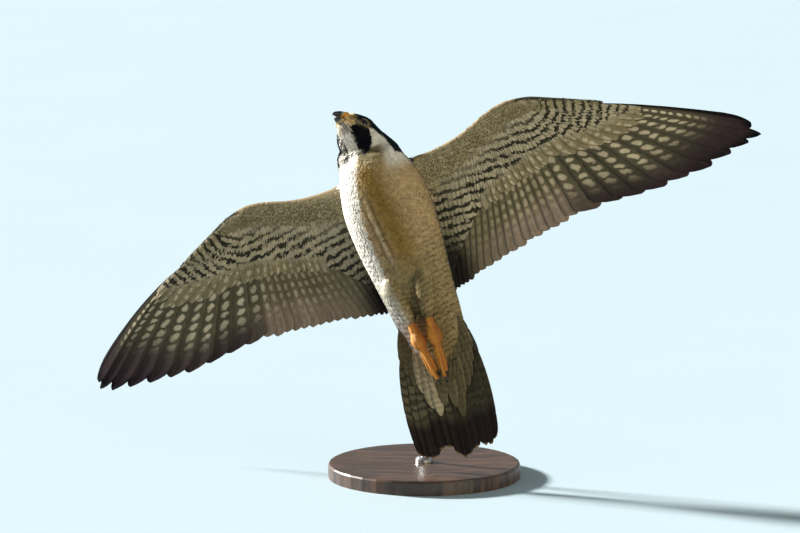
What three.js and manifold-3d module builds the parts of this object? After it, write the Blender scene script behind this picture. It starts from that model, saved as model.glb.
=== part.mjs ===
// A life-size adult male peregrine falcon in level flight, held on a plain display stand.
// Millimetres, +Z up, origin at the centre of the stand base's underside.
// The bird is modelled in a frame of its own: X towards its left, Y towards its back, Z towards
// its head. One group then tilts, banks and leans the whole bird and lifts it over the base.
import * as THREE from 'three';
import { mergeVertices } from 'three/addons/utils/BufferGeometryUtils.js';
import Module from 'manifold-3d';

const wasm = await Module();
wasm.setup();

// The pose of the whole bird on its stand
const TILT_DEG = 20;
const BANK_DEG = 15;
const LEAN_DEG = 10;
const TAIL_CLEARANCE = 14;
const GAP = 0.3;
const WELD = 0.004;

// The stand
const BASE_SIDES = 36;
const ROD_SIDES = 16;
const BASE_RADIUS = 118;
const BASE_HEIGHT = 18;
const BASE_EDGE = 3;
const ROD_RADIUS = 4;
const ROD_ENTRY = new THREE.Vector3(14, 14, -40);
const COLLAR_RADIUS = 11;
const COLLAR_HEIGHT = 7;

// The trunk, as rows of: place along the spine, half width, back, belly, sideways shift
const TRUNK = [
  [-118, 42, 11, -21, 0],
  [-104, 44, 14, -26, 0],
  [-88, 45.5, 17, -32, 0],
  [-66, 48, 21, -38, 0],
  [-42, 51, 25, -43, 0],
  [-14, 54.5, 28, -47, 0],
  [14, 56.5, 30, -50, 0],
  [42, 56.5, 31, -51, 0],
  [64, 53.5, 31, -50, 0.5],
  [82, 48, 30, -47, -0.5],
  [96, 41.5, 28, -43, -1.5],
];
const TRUNK_SIDES = 28;
const TRUNK_ROUNDNESS = 2.25;

// The head: where its centre lies, how it is turned, and its own rows along the bill's direction
const HEAD_CENTRE = new THREE.Vector3(-5, -9, 137);
const HEAD_NOD_DEG = 25.7;
const HEAD_TURN_DEG = -14.5;
const HEAD_ROLL_DEG = -32;
const HEAD = [
  [-12, 21.6, 24, -23.5],
  [-5, 21.6, 24.4, -22.5],
  [2, 20.8, 22.8, -20.8],
  [9, 18.4, 19.4, -18.4],
  [15, 15.4, 16, -16.4],
  [20.5, 12.2, 11.8, -14.2],
  [25, 9.4, 7.4, -12.4],
];
const NECK_STEPS = 4;
// Cheek feathers bunch up on the side that the head turns to: how far, and how that fades forwards
const CHEEK_SWELL = 15.5;
const CHEEK_SIDE = new THREE.Vector3(-0.79, -0.61, 0);
const CHEEK_START = 0.46;
const CHEEK_FADE = [[-12, 1.3], [-5, 1.12], [2, 0.98], [9, 0.66], [15, 0.3], [20.5, 0.05], [25, 0]];
const NAPE_SWELL = 3.5;
const THROAT_SWELL = 8.5;
const THROAT_PEAK = 1.7;
const EYE_PLACE = new THREE.Vector3(13.0, 3.4, 3.6);
const EYE_RADIUS = 7.4;
const EYE_FORWARD_DEG = 22;

// Bill rows in the head's side view: forward, up, slope, half width, half height
const UPPER_BILL = [
  [30.0, -1.3, 0, 6.6, 4.25],
  [33.0, -3.4, -24, 5.3, 3.5],
  [35.4, -5.8, -44, 4.0, 2.9],
  [37.4, -8.0, -60, 2.8, 2.3],
  [38.6, -10.4, -76, 1.5, 1.3],
  [39.0, -12.4, -90, 0.4, 0.4],
];
const CERE = [
  [25.3, 0.5, 0, 9.0, 5.9],
  [27.6, -0.1, 0, 8.2, 5.3],
  [29.7, -0.9, 0, 7.0, 4.5],
];
const LOWER_BILL = [
  [25.3, -9.2, 0, 7.8, 2.9],
  [29.5, -9.6, 0, 6.0, 2.5],
  [32.4, -10.3, 0, 4.1, 1.8],
  [33.8, -10.6, 0, 2.4, 1.2],
];
const NOSTRIL_RADIUS = 1.3;

// The wing's plan: distance from the mid-plane and place along the spine, by feather number.
// Feather 1 is the innermost primary, 10 the outermost, 0 the first secondary and so on inwards.
const FEATHER_ROOTS = [
  [-16, 68, 61],
  [-12, 112, 52],
  [-6, 149, 67],
  [0, 187, 84],
  [1, 196, 86],
  [5, 226, 83],
  [10, 262, 76],
];
const FEATHER_TIPS = [
  [-16, 50, -86],
  [-12, 76, -78],
  [-6, 141, -63],
  [0, 213, -51],
  [1, 237, -50],
  [3, 295, -54],
  [5, 353, -53],
  [7, 409, -44],
  [8, 434, -39],
  [9, 450, -33],
  [10, 446, -18],
];
const INNERMOST = -16;
const WRIST = 0.5;
const OUTERMOST = 10;
const VANE_THICKNESS = 0.5;
const VANE_OUTER = 0.35;
const SEED = 11;
const LENGTH_SPREAD = 0.012;
const PLACE_SPREAD = 0.05;

// A vane's width from root to tip, as pairs of place and share of its full reach
const FLIGHT_STEPS = [[0, 0.3], [0.3, 1], [0.65, 1], [0.9, 0.92], [1, 0.42]];
const SECONDARY_STEPS = [[0, 0.3], [0.4, 1], [0.9, 0.92], [1, 0.42]];
const COVERT_STEPS = [[0, 0.3], [0.65, 1], [1, 0.45]];

// Feather tiers: how deep their roots sit ahead of the flight feathers' own, the share of a flight
// feather that they cover, how far above its plane they lie, the step between neighbours, how far
// they reach inwards in spacings, and the outermost feather that has one
const TIERS = [
  { root: 3, to: 1, level: 0, step: 0.95, reach: 1, last: 10, steps: FLIGHT_STEPS },
  { root: 7, to: 0.46, level: -2.1, step: 0.85, reach: 0.95, last: 10, steps: COVERT_STEPS },
  { root: 11, to: 0.25, level: -4, step: 0.85, reach: 0.95, last: 8, steps: COVERT_STEPS },
  { root: 7, to: 0.42, level: 2, step: 0.85, reach: 0.95, last: 10, steps: COVERT_STEPS },
];

// The wing's flesh: front edge and rear edge in plan, and half thickness
const ARM = [
  [34, 84, 34, -16, 10],
  [50, 86.5, 52, 8, 8.5],
  [68, 85.5, 72, 35, 7.2],
  [92, 88, 98, 41, 6.6],
  [118, 94, 124, 47, 6.2],
  [146, 104.5, 151, 58, 5.9],
  [168, 110, 175, 69, 5.6],
  [185, 109.6, 193.3, 75.6, 5.4],
];
const HAND = [
  [185, 109.6, 193.3, 75.6, 5.4],
  [206, 104.8, 209, 77, 5.3],
  [226, 96.5, 227, 75, 5.2],
  [244, 88.6, 243.5, 72, 5],
  [262, 80.8, 261, 68.5, 4.5],
  [277, 73.6, 276, 65.2, 3.4],
  [287, 68.8, 286, 64.3, 1.8],
];
const CORE_SIDES = 12;

// The alula: a thumb on the hand's front edge with three short feathers, the longest in front.
// Its rows are place along the front edge, distance ahead of it, height and radius.
const THUMB = [
  [195, -1.5, 4.5, 1.2],
  [199, -1, 4.9, 2.6],
  [207, -0.8, 4.8, 2.4],
  [216, -0.6, 4.6, 1],
];
const ALULA_LENGTHS = [50, 41, 31];
const ALULA_STEP = 0.95;
const ALULA_AHEAD = 1.4;
const ALULA_WIDTH = 7.5;

// How the wing rises from the shoulder, sweeps up to its tip and arches from front to back
const WING_LEVEL = 7;
const WING_RISE = 0.1;
const TIP_CURL = 0.00022;
const TIP_CURL_FROM = 180;
const ARCH = 0.0009;
const ARCH_MIDDLE = 25;
const SHOULDER = 40;
const WRIST_PLACE = 190;

const WINGS = [
  { name: 'wing_l', sign: 1, sweepDeg: 0, wristDrop: 0, bow: 0.016, stretch: 1.004 },
  { name: 'wing_r', sign: -1, sweepDeg: -2.4, wristDrop: 5, bow: 0.042, stretch: 1.016 },
];

// The tail, in a plan of its own: distance to one side and along the tail from its root
const TAIL_ROOT = new THREE.Vector3(0, -5, -118);
const TAIL_SWING_DEG = 7;
const TAIL_PAIRS = 6;
const TAIL_SLANT = 0.02;
const TAIL_ROOT_SPREAD = 7.3;
const TAIL_BOW = 8;
const TAIL_ARCH = 0.0022;
const TAIL_ROOT_DEPTH = 8;

// Tail feather tips: feather number, negative to the right, then distance to the side and along
const TAIL_TIPS = [
  [-5.5, -49, 151], [-4.5, -42, 157], [-3.5, -35, 158], [-2.5, -21, 157], [-1.5, -12, 155], [-0.5, -4, 159],
  [0.5, 5, 166], [1.5, 14, 162], [2.5, 23, 155], [3.5, 34, 158], [4.5, 42.5, 155], [5.5, 50, 147],
];
const TAIL_TIERS = [
  { to: 1, level: 0, steps: FLIGHT_STEPS },
  { to: 0.5, level: -3.1, steps: COVERT_STEPS },
  { to: 0.38, level: 3.1, steps: COVERT_STEPS },
];
const TAIL_STEP = 0.95;
const TAIL_INNER = 0.9;
const TAIL_OUTER = 0.45;

// The legs, folded back under the tail, given for the left one
const LEGS = [
  { name: 'leg_l', sign: 1, shift: -3 },
  { name: 'leg_r', sign: -1, shift: -5 },
];
const THIGH = [
  [24, -33, -48, 9],
  [21, -35, -62, 13],
  [17, -36, -80, 12.5],
  [12.5, -36, -94, 9],
  [11, -35.5, -103, 6],
];
const TARSUS = [
  [11, -35.4, -103.9, 4.6],
  [10.8, -34.6, -111, 4.9],
  [10.3, -33.8, -118.5, 5.8],
];
const PALM = [
  [10.3, -33.8, -118.8, 5.8],
  [10, -33.4, -123.5, 8.2],
  [9.8, -33.1, -129, 9.2],
  [9.3, -32.8, -135, 8],
  [8.9, -32.6, -139.5, 5.4],
];
const TOES = [
  { name: 'inner', side: -3.6, splay: -1.6, lift: -0.4, length: 36, radius: 2.9 },
  { name: 'middle', side: 0.1, splay: 0, lift: -2.6, length: 46, radius: 3.1 },
  { name: 'outer', side: 3.8, splay: 2.4, lift: -0.2, length: 40, radius: 2.8 },
  { name: 'hind', side: -0.4, splay: 0, lift: 4.4, length: 22, radius: 2.8 },
];
const TOE_START = [9.3, -32.4, -134];
// How far the toes draw towards the other foot for each millimetre of their length
const TOE_INWARD = 0.12;
const CLAW_LENGTH = 14;
const CLAW_RADIUS = 1.9;

const FINISH = {
  plumage: { color: 0xb9ab93, roughness: 0.85, metalness: 0 },
  slate: { color: 0x4a5058, roughness: 0.85, metalness: 0 },
  horn: { color: 0x23262b, roughness: 0.4, metalness: 0 },
  skin: { color: 0xe0a32c, roughness: 0.6, metalness: 0 },
  eye: { color: 0x120c08, roughness: 0.1, metalness: 0 },
  wood: { color: 0x3b2a1e, roughness: 0.5, metalness: 0 },
  steel: { color: 0x8d9094, roughness: 0.35, metalness: 1 },
};

const rad = THREE.MathUtils.degToRad;
const vec = (x, y, z) => new THREE.Vector3(x, y, z);

// Closed solids

function signedVolume(points, triangles) {
  let volume = 0;
  for (const [a, b, c] of triangles) {
    volume += points[a].dot(points[b].clone().cross(points[c])) / 6;
  }
  return volume;
}

function solidFrom(points, triangles) {
  const inward = signedVolume(points, triangles) < 0;
  const corners = triangles.flatMap(([a, b, c]) => (inward ? [a, c, b] : [a, b, c]));
  return new wasm.Manifold(new wasm.Mesh({
    numProp: 3,
    vertProperties: new Float32Array(points.flatMap((p) => [p.x, p.y, p.z])),
    triVerts: new Uint32Array(corners),
    tolerance: WELD,
  }));
}

function solidOf(geometry) {
  geometry.deleteAttribute('normal');
  geometry.deleteAttribute('uv');
  const merged = mergeVertices(geometry, 1e-4);
  const place = merged.attributes.position;
  const points = Array.from({ length: place.count }, (_, i) => vec().fromBufferAttribute(place, i));
  const index = merged.index.array;
  const triangles = [];
  for (let i = 0; i < index.length; i += 3) triangles.push([index[i], index[i + 1], index[i + 2]]);
  return solidFrom(points, triangles);
}

function geometryOf(solid) {
  const { vertProperties, triVerts } = solid.getMesh();
  const geometry = new THREE.BufferGeometry();
  geometry.setAttribute('position', new THREE.BufferAttribute(vertProperties, 3));
  geometry.setIndex(new THREE.BufferAttribute(triVerts, 1));
  geometry.computeVertexNormals();
  return geometry;
}

function largest(solid) {
  return solid.decompose().reduce((best, body) => (body.volume() > best.volume() ? body : best));
}

function joined(solids) {
  return largest(solids.reduce((all, solid) => all.add(solid)));
}

// A skin over rings of points, each end closed by a fan
function loft(rings) {
  const sides = rings[0].length;
  const points = rings.flat();
  const triangles = [];
  for (let r = 0; r + 1 < rings.length; r++) {
    for (let i = 0; i < sides; i++) {
      const a = r * sides + i;
      const b = r * sides + ((i + 1) % sides);
      triangles.push([a, b, b + sides], [a, b + sides, a + sides]);
    }
  }
  for (const r of [0, rings.length - 1]) {
    const middle = points.length;
    points.push(rings[r].reduce((sum, p) => sum.add(p), vec(0, 0, 0)).divideScalar(sides));
    for (let i = 0; i < sides; i++) {
      const a = r * sides + i;
      const b = r * sides + ((i + 1) % sides);
      triangles.push(r === 0 ? [b, a, middle] : [a, b, middle]);
    }
  }
  return solidFrom(points, triangles);
}

// A thin plate through stations of four corners: inner and outer edge above, outer and inner below
function plate(stations) {
  const points = stations.flat();
  const triangles = [];
  for (let s = 0; s + 1 < stations.length; s++) {
    const [a, b, c, d] = [0, 1, 2, 3].map((i) => s * 4 + i);
    triangles.push([a, b, b + 4], [a, b + 4, a + 4]);
    triangles.push([d, c + 4, c], [d, d + 4, c + 4]);
    triangles.push([b, c, c + 4], [b, c + 4, b + 4]);
    triangles.push([a, a + 4, d + 4], [a, d + 4, d]);
  }
  const last = points.length - 4;
  triangles.push([0, 2, 1], [0, 3, 2]);
  triangles.push([last, last + 1, last + 2], [last, last + 2, last + 3]);
  return solidFrom(points, triangles);
}

// A tapered round limb through rows of: x, y, z, radius
function limb(rows, sides, sign = 1, shift = 0) {
  const centres = rows.map(([x, y, z]) => vec(sign * x + shift, y, z));
  const rings = rows.map(([, , , radius], r) => {
    const along = centres[Math.min(r + 1, rows.length - 1)].clone().sub(centres[Math.max(r - 1, 0)]);
    const turn = new THREE.Quaternion().setFromUnitVectors(vec(0, 0, -1), along.normalize());
    return circle(sides, (c, s) => vec(c * radius, s * radius, 0).applyQuaternion(turn).add(centres[r]));
  });
  return loft(rings);
}

function circle(sides, place) {
  return Array.from({ length: sides }, (_, i) => {
    const angle = (2 * Math.PI * i) / sides;
    return place(Math.cos(angle), Math.sin(angle));
  });
}

// A fixed draw from -1 to 1 for each feather, so that the same seed always gives the same bird
function draw(number, salt) {
  const value = Math.sin(number * 127.1 + salt * 311.7 + SEED) * 43758.5453;
  return 2 * (value - Math.floor(value)) - 1;
}

// Smooth curve through rows whose first value is the parameter
function along(rows, at) {
  let r = rows.findIndex((row) => at < row[0]) - 1;
  if (r < 0) r = at < rows[0][0] ? 0 : rows.length - 2;
  const before = rows[Math.max(r - 1, 0)];
  const [from, to] = [rows[r], rows[r + 1]];
  const after = rows[Math.min(r + 2, rows.length - 1)];
  const span = to[0] - from[0];
  const t = (at - from[0]) / span;
  return from.slice(1).map((_, i) => {
    const startSlope = (to[i + 1] - before[i + 1]) / (to[0] - before[0]);
    const endSlope = (after[i + 1] - from[i + 1]) / (after[0] - from[0]);
    if (t < 0) return from[i + 1] + startSlope * (at - from[0]);
    if (t > 1) return to[i + 1] + endSlope * (at - to[0]);
    const blend = t * t * (3 - 2 * t);
    const start = t * (1 - t) * (1 - t) * span * startSlope;
    const end = t * t * (1 - t) * span * endSlope;
    return from[i + 1] + (to[i + 1] - from[i + 1]) * blend + start - end;
  });
}

// Trunk, neck and head

const headTurn = new THREE.Quaternion().setFromEuler(
  new THREE.Euler(rad(HEAD_NOD_DEG), rad(HEAD_TURN_DEG), rad(HEAD_ROLL_DEG), 'YXZ'));

function oval(halfWidth, up, down, grow = 0) {
  const power = 2 / TRUNK_ROUNDNESS;
  const round = (value) => Math.sign(value) * Math.abs(value) ** power;
  const height = (up - down) / 2 + grow;
  const middle = (up + down) / 2;
  return circle(TRUNK_SIDES, (c, s) => vec(round(c) * (halfWidth + grow), middle + round(s) * height, 0));
}

function trunkRing([z, halfWidth, back, belly, shift], grow = 0) {
  return oval(halfWidth, back, belly, grow).map((p) => p.add(vec(shift, 0, z)));
}

function headPoint(left, up, forward) {
  return vec(left, up, forward).applyQuaternion(headTurn).add(HEAD_CENTRE);
}

function headRing([forward, halfWidth, up, down]) {
  const [fade] = along(CHEEK_FADE, forward);
  return oval(halfWidth, up, down).map((p) => {
    const cheekward = p.dot(CHEEK_SIDE) / Math.hypot(halfWidth, down);
    const part = THREE.MathUtils.clamp((cheekward - CHEEK_START) / (1 - CHEEK_START), 0, 1);
    p.addScaledVector(CHEEK_SIDE, CHEEK_SWELL * part * fade);
    return headPoint(p.x, p.y, forward);
  });
}

function trunk(grow = 0) {
  const rows = TRUNK.map((row) => trunkRing(row, grow));
  if (grow > 0) {
    rows.unshift(rows[0].map((p) => p.clone().add(vec(0, 0, -grow))));
    rows.push(rows[rows.length - 1].map((p) => p.clone().add(vec(0, 0, grow))));
  }
  return loft(rows);
}

// Neck rings bow from the trunk's front end to the back of the head
function neckRings() {
  const from = trunkRing(TRUNK[TRUNK.length - 1]).map((p) => p.add(vec(0, 0, GAP)));
  const to = headRing(HEAD[0]);
  const reach = 22;
  const forward = vec(0, 0, 1).applyQuaternion(headTurn);
  return Array.from({ length: NECK_STEPS + 1 }, (_, step) => {
    const t = step / NECK_STEPS;
    return from.map((p, i) => {
      const startPull = p.clone().add(vec(0, 0, reach * 0.45));
      const endPull = to[i].clone().addScaledVector(forward, -reach * 0.35);
      const side = (p.x - TRUNK[TRUNK.length - 1][4]) / TRUNK[TRUNK.length - 1][1];
      const throat = THROAT_SWELL * Math.sin(Math.PI * t ** THROAT_PEAK);
      const nape = NAPE_SWELL * Math.sin(Math.PI * t);
      const swell = side * (side < 0 ? throat : nape);
      return new THREE.CubicBezierCurve3(p, startPull, endPull, to[i]).getPoint(t).add(vec(swell, 0, 0));
    });
  });
}

function headGap(ring) {
  const step = vec(0, 0, GAP).applyQuaternion(headTurn);
  return ring.map((p) => p.clone().add(step));
}

function head() {
  const rings = HEAD.map((row) => headRing(row));
  rings[0] = headGap(rings[0]);
  let solid = loft(rings);
  for (const sign of [1, -1]) {
    solid = solid.add(lids(sign)).add(brow(sign));
    solid = solid.subtract(eyeball(sign, GAP)).subtract(mouthSlit(sign));
  }
  return largest(solid);
}

function eyeFrame(sign) {
  const outward = vec(sign * Math.cos(rad(EYE_FORWARD_DEG)), 0, Math.sin(rad(EYE_FORWARD_DEG)));
  const turn = new THREE.Quaternion().setFromUnitVectors(vec(0, 0, 1), outward);
  return { outward, turn, centre: vec(sign * EYE_PLACE.x, EYE_PLACE.y, EYE_PLACE.z) };
}

function eyeball(sign, grow = 0) {
  const { centre } = eyeFrame(sign);
  const ball = new THREE.SphereGeometry(EYE_RADIUS + grow, 12, 8);
  ball.translate(centre.x, centre.y, centre.z);
  return solidOf(intoHead(ball));
}

function intoHead(geometry) {
  geometry.applyQuaternion(headTurn);
  geometry.translate(HEAD_CENTRE.x, HEAD_CENTRE.y, HEAD_CENTRE.z);
  return geometry;
}

// Two lids, as one ring that hugs the eye, drawn out a little to front and back
function lids(sign) {
  const { outward, turn, centre } = eyeFrame(sign);
  const ring = new THREE.TorusGeometry(5.5, 1.5, 6, 12);
  ring.scale(1.08, 0.98, 1.15);
  ring.applyQuaternion(turn);
  const seat = centre.clone().addScaledVector(outward, 5.6);
  ring.translate(seat.x, seat.y, seat.z);
  return solidOf(intoHead(ring));
}

// The bony ridge that shades the eye
function brow(sign) {
  const ridge = new THREE.SphereGeometry(1, 10, 6);
  ridge.scale(3.2, 2.4, 9.5);
  ridge.rotateX(rad(12));
  ridge.rotateY(rad(-sign * 24));
  ridge.translate(sign * 16.8, 12.2, 5.4);
  return solidOf(intoHead(ridge));
}

// The line of the mouth runs back from the bill to below the eye
function mouthSlit(sign) {
  const rows = [[26.5, -5.2], [22, -5.6], [17, -6.4], [12.5, -7.6]];
  const stations = rows.map(([forward, up]) => {
    const outer = sign * 24;
    const inner = sign * (5.2 + (26.5 - forward) * 0.62);
    return [[inner, 0.35], [outer, 0.35], [outer, -0.35], [inner, -0.35]]
      .map(([left, half]) => headPoint(left, up + half, forward));
  });
  return plate(stations);
}

function billRing([forward, up, slopeDeg, halfWidth, halfHeight], sides = 16) {
  const slope = rad(slopeDeg);
  return circle(sides, (c, s) => headPoint(
    c * halfWidth, up + s * halfHeight * Math.cos(slope), forward - s * halfHeight * Math.sin(slope)));
}

function upperBill() {
  let solid = loft(UPPER_BILL.map((row) => billRing(row)));
  for (const sign of [1, -1]) {
    const tooth = new THREE.ConeGeometry(1.1, 2.8, 8);
    tooth.rotateX(Math.PI);
    tooth.translate(sign * 3.9, -6.4, 33.4);
    solid = solid.add(solidOf(intoHead(tooth)));
  }
  return largest(solid);
}

function cere() {
  let solid = loft(CERE.map((row) => billRing(row)));
  for (const sign of [1, -1]) {
    const hole = new THREE.CylinderGeometry(NOSTRIL_RADIUS, NOSTRIL_RADIUS, 6, 12);
    hole.rotateZ(Math.PI / 2);
    hole.translate(sign * 9.2, 1.0, 27.8);
    solid = solid.subtract(solidOf(intoHead(hole)));
  }
  return largest(solid);
}

// Wings

function shaftPoint(wing, number, place) {
  const t = place > 0 && number > WRIST ? place * wing.stretch : place;
  const [rootU, rootV] = along(FEATHER_ROOTS, number);
  const [tipU, tipV] = along(FEATHER_TIPS, number);
  const bow = wing.bow * THREE.MathUtils.smoothstep(number, 0, 8) * 4 * t * (1 - t);
  return [
    rootU + (tipU - rootU) * t - (tipV - rootV) * bow,
    rootV + (tipV - rootV) * t + (tipU - rootU) * bow,
  ];
}

function shaftLength(number) {
  const [rootU, rootV] = along(FEATHER_ROOTS, number);
  const [tipU, tipV] = along(FEATHER_TIPS, number);
  return Math.hypot(tipU - rootU, tipV - rootV);
}

function wingHeight(wing, u, v) {
  const curl = TIP_CURL * Math.max(u - TIP_CURL_FROM, 0) ** 2;
  return WING_LEVEL + WING_RISE * (u - SHOULDER) + curl - ARCH * (v - ARCH_MIDDLE) ** 2;
}

function wingPoint(wing, u, v, lift) {
  const sweep = rad(wing.sweepDeg);
  const drop = wing.wristDrop * Math.exp(-(((u - WRIST_PLACE) / 100) ** 2));
  const [du, dv] = [u - SHOULDER, v - drop - 60];
  const x = SHOULDER + du * Math.cos(sweep) - dv * Math.sin(sweep);
  const z = 60 + du * Math.sin(sweep) + dv * Math.cos(sweep);
  return vec(wing.sign * x, wingHeight(wing, u, v) + lift, z);
}

// One vane: its edges lie by fractions of the spacing to either side of the shaft, so that it
// always stays a full step above the next feather out and below the next one in
function wingVane(wing, number, tier, steps) {
  const { level, step } = tier;
  const salt = wing.sign + level;
  const to = tier.to * (1 + LENGTH_SPREAD * draw(number, salt) * (1 + Math.abs(level)));
  const from = -tier.root / shaftLength(number);
  const aside = number === 0 || number === 1 ? 0 : PLACE_SPREAD * draw(number, salt + 0.5);
  const stations = steps.map(([part, width]) => {
    const t = from + (to - from) * part;
    const innerEdge = -innerReach(number, tier.reach) * (number === 1 ? 1 : width);
    const outerEdge = outerReach(number) * (number === 0 ? 1 : width);
    return corners(innerEdge, outerEdge).map(([side, face]) => {
      const [u, v] = shaftPoint(wing, number + side + aside * t, t);
      return wingPoint(wing, u, v, level + step * side + (face * VANE_THICKNESS) / 2);
    });
  });
  return plate(stations);
}

function corners(innerEdge, outerEdge) {
  return [[innerEdge, 1], [outerEdge, 1], [outerEdge, -1], [innerEdge, -1]];
}

// Arm and hand meet half way between their two neighbouring feathers, so neither reaches past it
function innerReach(number, reach) {
  return number === 1 ? WRIST - 0.03 : reach;
}

function outerReach(number) {
  return number === 0 ? WRIST - 0.03 : VANE_OUTER;
}

function coreRing(wing, [frontU, frontV, rearU, rearV, half], grow = 0) {
  return circle(CORE_SIDES, (c, s) => {
    const chord = (1 - c) / 2;
    const u = frontU + (rearU - frontU) * chord;
    const v = frontV + (rearV - frontV) * chord + c * grow;
    const depth = (half + grow) * Math.sin(Math.PI * chord ** 0.62) ** 0.75;
    return wingPoint(wing, u, v, Math.sign(s) * (Math.abs(s) < 1e-9 ? 0 : depth));
  });
}

function wingNode(wing, core, first, last) {
  const pieces = [loft(core.map((row) => coreRing(wing, row)))];
  for (let number = first; number <= last; number++) {
    for (const tier of TIERS.filter((each) => number <= each.last)) {
      const steps = number < 1 && tier.steps === FLIGHT_STEPS ? SECONDARY_STEPS : tier.steps;
      pieces.push(wingVane(wing, number, tier, steps));
    }
  }
  return joined(pieces);
}

function frontEdge(u) {
  const [v] = along(HAND.map(([frontU, frontV]) => [frontU, frontV]), u);
  return v;
}

function alulaVane(wing, place) {
  const stations = COVERT_STEPS.map(([part, width]) => {
    const u = THUMB[1][0] + 2 + 3 * place + ALULA_LENGTHS[place] * part;
    const ahead = ALULA_AHEAD - 2.4 * place;
    return corners(ahead - ALULA_WIDTH * width, ahead).map(([offset, face]) => {
      const lift = 4.6 - 0.38 * offset + ALULA_STEP * place + (face * VANE_THICKNESS) / 2;
      return wingPoint(wing, u, frontEdge(u) + offset, lift);
    });
  });
  return plate(stations);
}

function alula(wing) {
  const thumb = THUMB.map(([u, ahead, lift, radius]) => {
    const p = wingPoint(wing, u, frontEdge(u) + ahead, lift);
    return [p.x, p.y, p.z, radius];
  });
  const pieces = [limb(thumb, 8), ...ALULA_LENGTHS.map((_, place) => alulaVane(wing, place))];
  const seat = loft(HAND.map((row) => coreRing(wing, row, 1.5 * GAP)));
  return largest(pieces.reduce((all, piece) => all.add(piece)).subtract(seat));
}

function handRows() {
  const first = HAND[0].slice();
  first[0] += GAP * 1.1;
  first[2] += GAP * 1.1;
  return [first, ...HAND.slice(1)];
}

// Tail

function tailPoint(lateral, back, lift) {
  const swing = rad(TAIL_SWING_DEG);
  const y = TAIL_ROOT.y - TAIL_ARCH * lateral ** 2 - TAIL_SLANT * back + lift;
  return vec(
    TAIL_ROOT.x + lateral * Math.cos(swing) - back * Math.sin(swing), y,
    TAIL_ROOT.z - back * Math.cos(swing) - lateral * Math.sin(swing));
}

// The two middle feathers lie on top, the left over the right, and each next one out lies lower
function tailVane(number, tier) {
  const side = Math.sign(number);
  const inner = number === 0.5 ? 0.5 + TAIL_INNER : Math.min(TAIL_INNER, Math.abs(number) - 0.02);
  const stations = tier.steps.map(([part, width]) => {
    const t = tier.to * part * (1 + LENGTH_SPREAD * draw(number, tier.level));
    return corners(-inner * width, TAIL_OUTER * width).map(([offset, face]) => {
      const place = number + side * offset;
      const [tipSide, tipBack] = along(TAIL_TIPS, place);
      const bow = ((TAIL_BOW * place) / TAIL_PAIRS) * 4 * t * (1 - t);
      const lateral = TAIL_ROOT_SPREAD * place * (1 - t) + tipSide * t + bow;
      const lift = tier.level - TAIL_STEP * offset + (face * VANE_THICKNESS) / 2;
      return tailPoint(lateral, TAIL_ROOT_DEPTH + (tipBack - TAIL_ROOT_DEPTH) * t, lift);
    });
  });
  return plate(stations);
}

const TAIL_CORE = [
  [0.3, 42, 16, -16], [14, 40, 13, -14], [30, 34, 8, -10], [46, 25, 4, -6], [58, 14, 1.5, -2.5],
];

function tailCore() {
  const rings = TAIL_CORE.map(([back, halfWidth, up, down]) => oval(halfWidth, up, down)
    .map((p) => tailPoint(p.x, back, p.y + TAIL_ARCH * p.x ** 2)));
  rings[0] = trunkRing(TRUNK[0]).map((p) => p.add(vec(0, 0, -GAP)));
  return loft(rings);
}

function tail() {
  const pieces = [tailCore()];
  for (let number = 0.5 - TAIL_PAIRS; number < TAIL_PAIRS; number++) {
    for (const tier of TAIL_TIERS) pieces.push(tailVane(number, tier));
  }
  return joined(pieces);
}

// Legs

function toePath(leg, toe) {
  const [startX, startY, startZ] = TOE_START;
  return Array.from({ length: 6 }, (_, i) => {
    const t = i / 5;
    const spread = Math.sin((Math.PI * t) / 2);
    const side = toe.side * spread + toe.splay * Math.sin(Math.PI * t) - TOE_INWARD * toe.length * t;
    return vec(
      leg.sign * (startX + side) + leg.shift,
      startY + toe.lift * spread + 3 * t * t,
      startZ - toe.length * t);
  });
}

function foot(leg) {
  const pieces = [limb(PALM, 12, leg.sign, leg.shift)];
  for (const toe of TOES) {
    const path = toePath(leg, toe);
    const rows = path.map((p, i) => [p.x, p.y, p.z, toe.radius * (1 - 0.07 * i) * (i % 2 ? 1.08 : 0.96)]);
    pieces.push(limb(rows, 8));
  }
  return joined(pieces);
}

function claw(leg, toe) {
  const path = toePath(leg, toe);
  const end = path[path.length - 1];
  const heading = end.clone().sub(path[path.length - 2]).normalize();
  const rows = Array.from({ length: 5 }, (_, i) => {
    const t = i / 4;
    const angle = t * 1.25;
    const reach = (CLAW_LENGTH * Math.sin(angle)) / 1.25;
    const drop = (CLAW_LENGTH * (1 - Math.cos(angle))) / 1.25;
    const p = end.clone().addScaledVector(heading, GAP + reach).add(vec(0, drop, 0));
    return [p.x, p.y, p.z, CLAW_RADIUS * (1 - 0.9 * t)];
  });
  return limb(rows, 6);
}

// Stand

function birdMatrix() {
  const turn = new THREE.Matrix4().makeRotationX(rad(-LEAN_DEG))
    .multiply(new THREE.Matrix4().makeRotationY(rad(-TILT_DEG)))
    .multiply(new THREE.Matrix4().makeRotationZ(rad(-BANK_DEG)));
  const low = lowestOf(tailSolid, turn);
  const entry = ROD_ENTRY.clone().applyMatrix4(turn);
  turn.setPosition(-entry.x, -entry.y, BASE_HEIGHT + TAIL_CLEARANCE - low);
  return turn;
}

function lowestOf(solid, matrix) {
  const { vertProperties } = solid.getMesh();
  let low = Infinity;
  for (let i = 0; i < vertProperties.length; i += 3) {
    low = Math.min(low, vec(...vertProperties.subarray(i, i + 3)).applyMatrix4(matrix).z);
  }
  return low;
}

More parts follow.
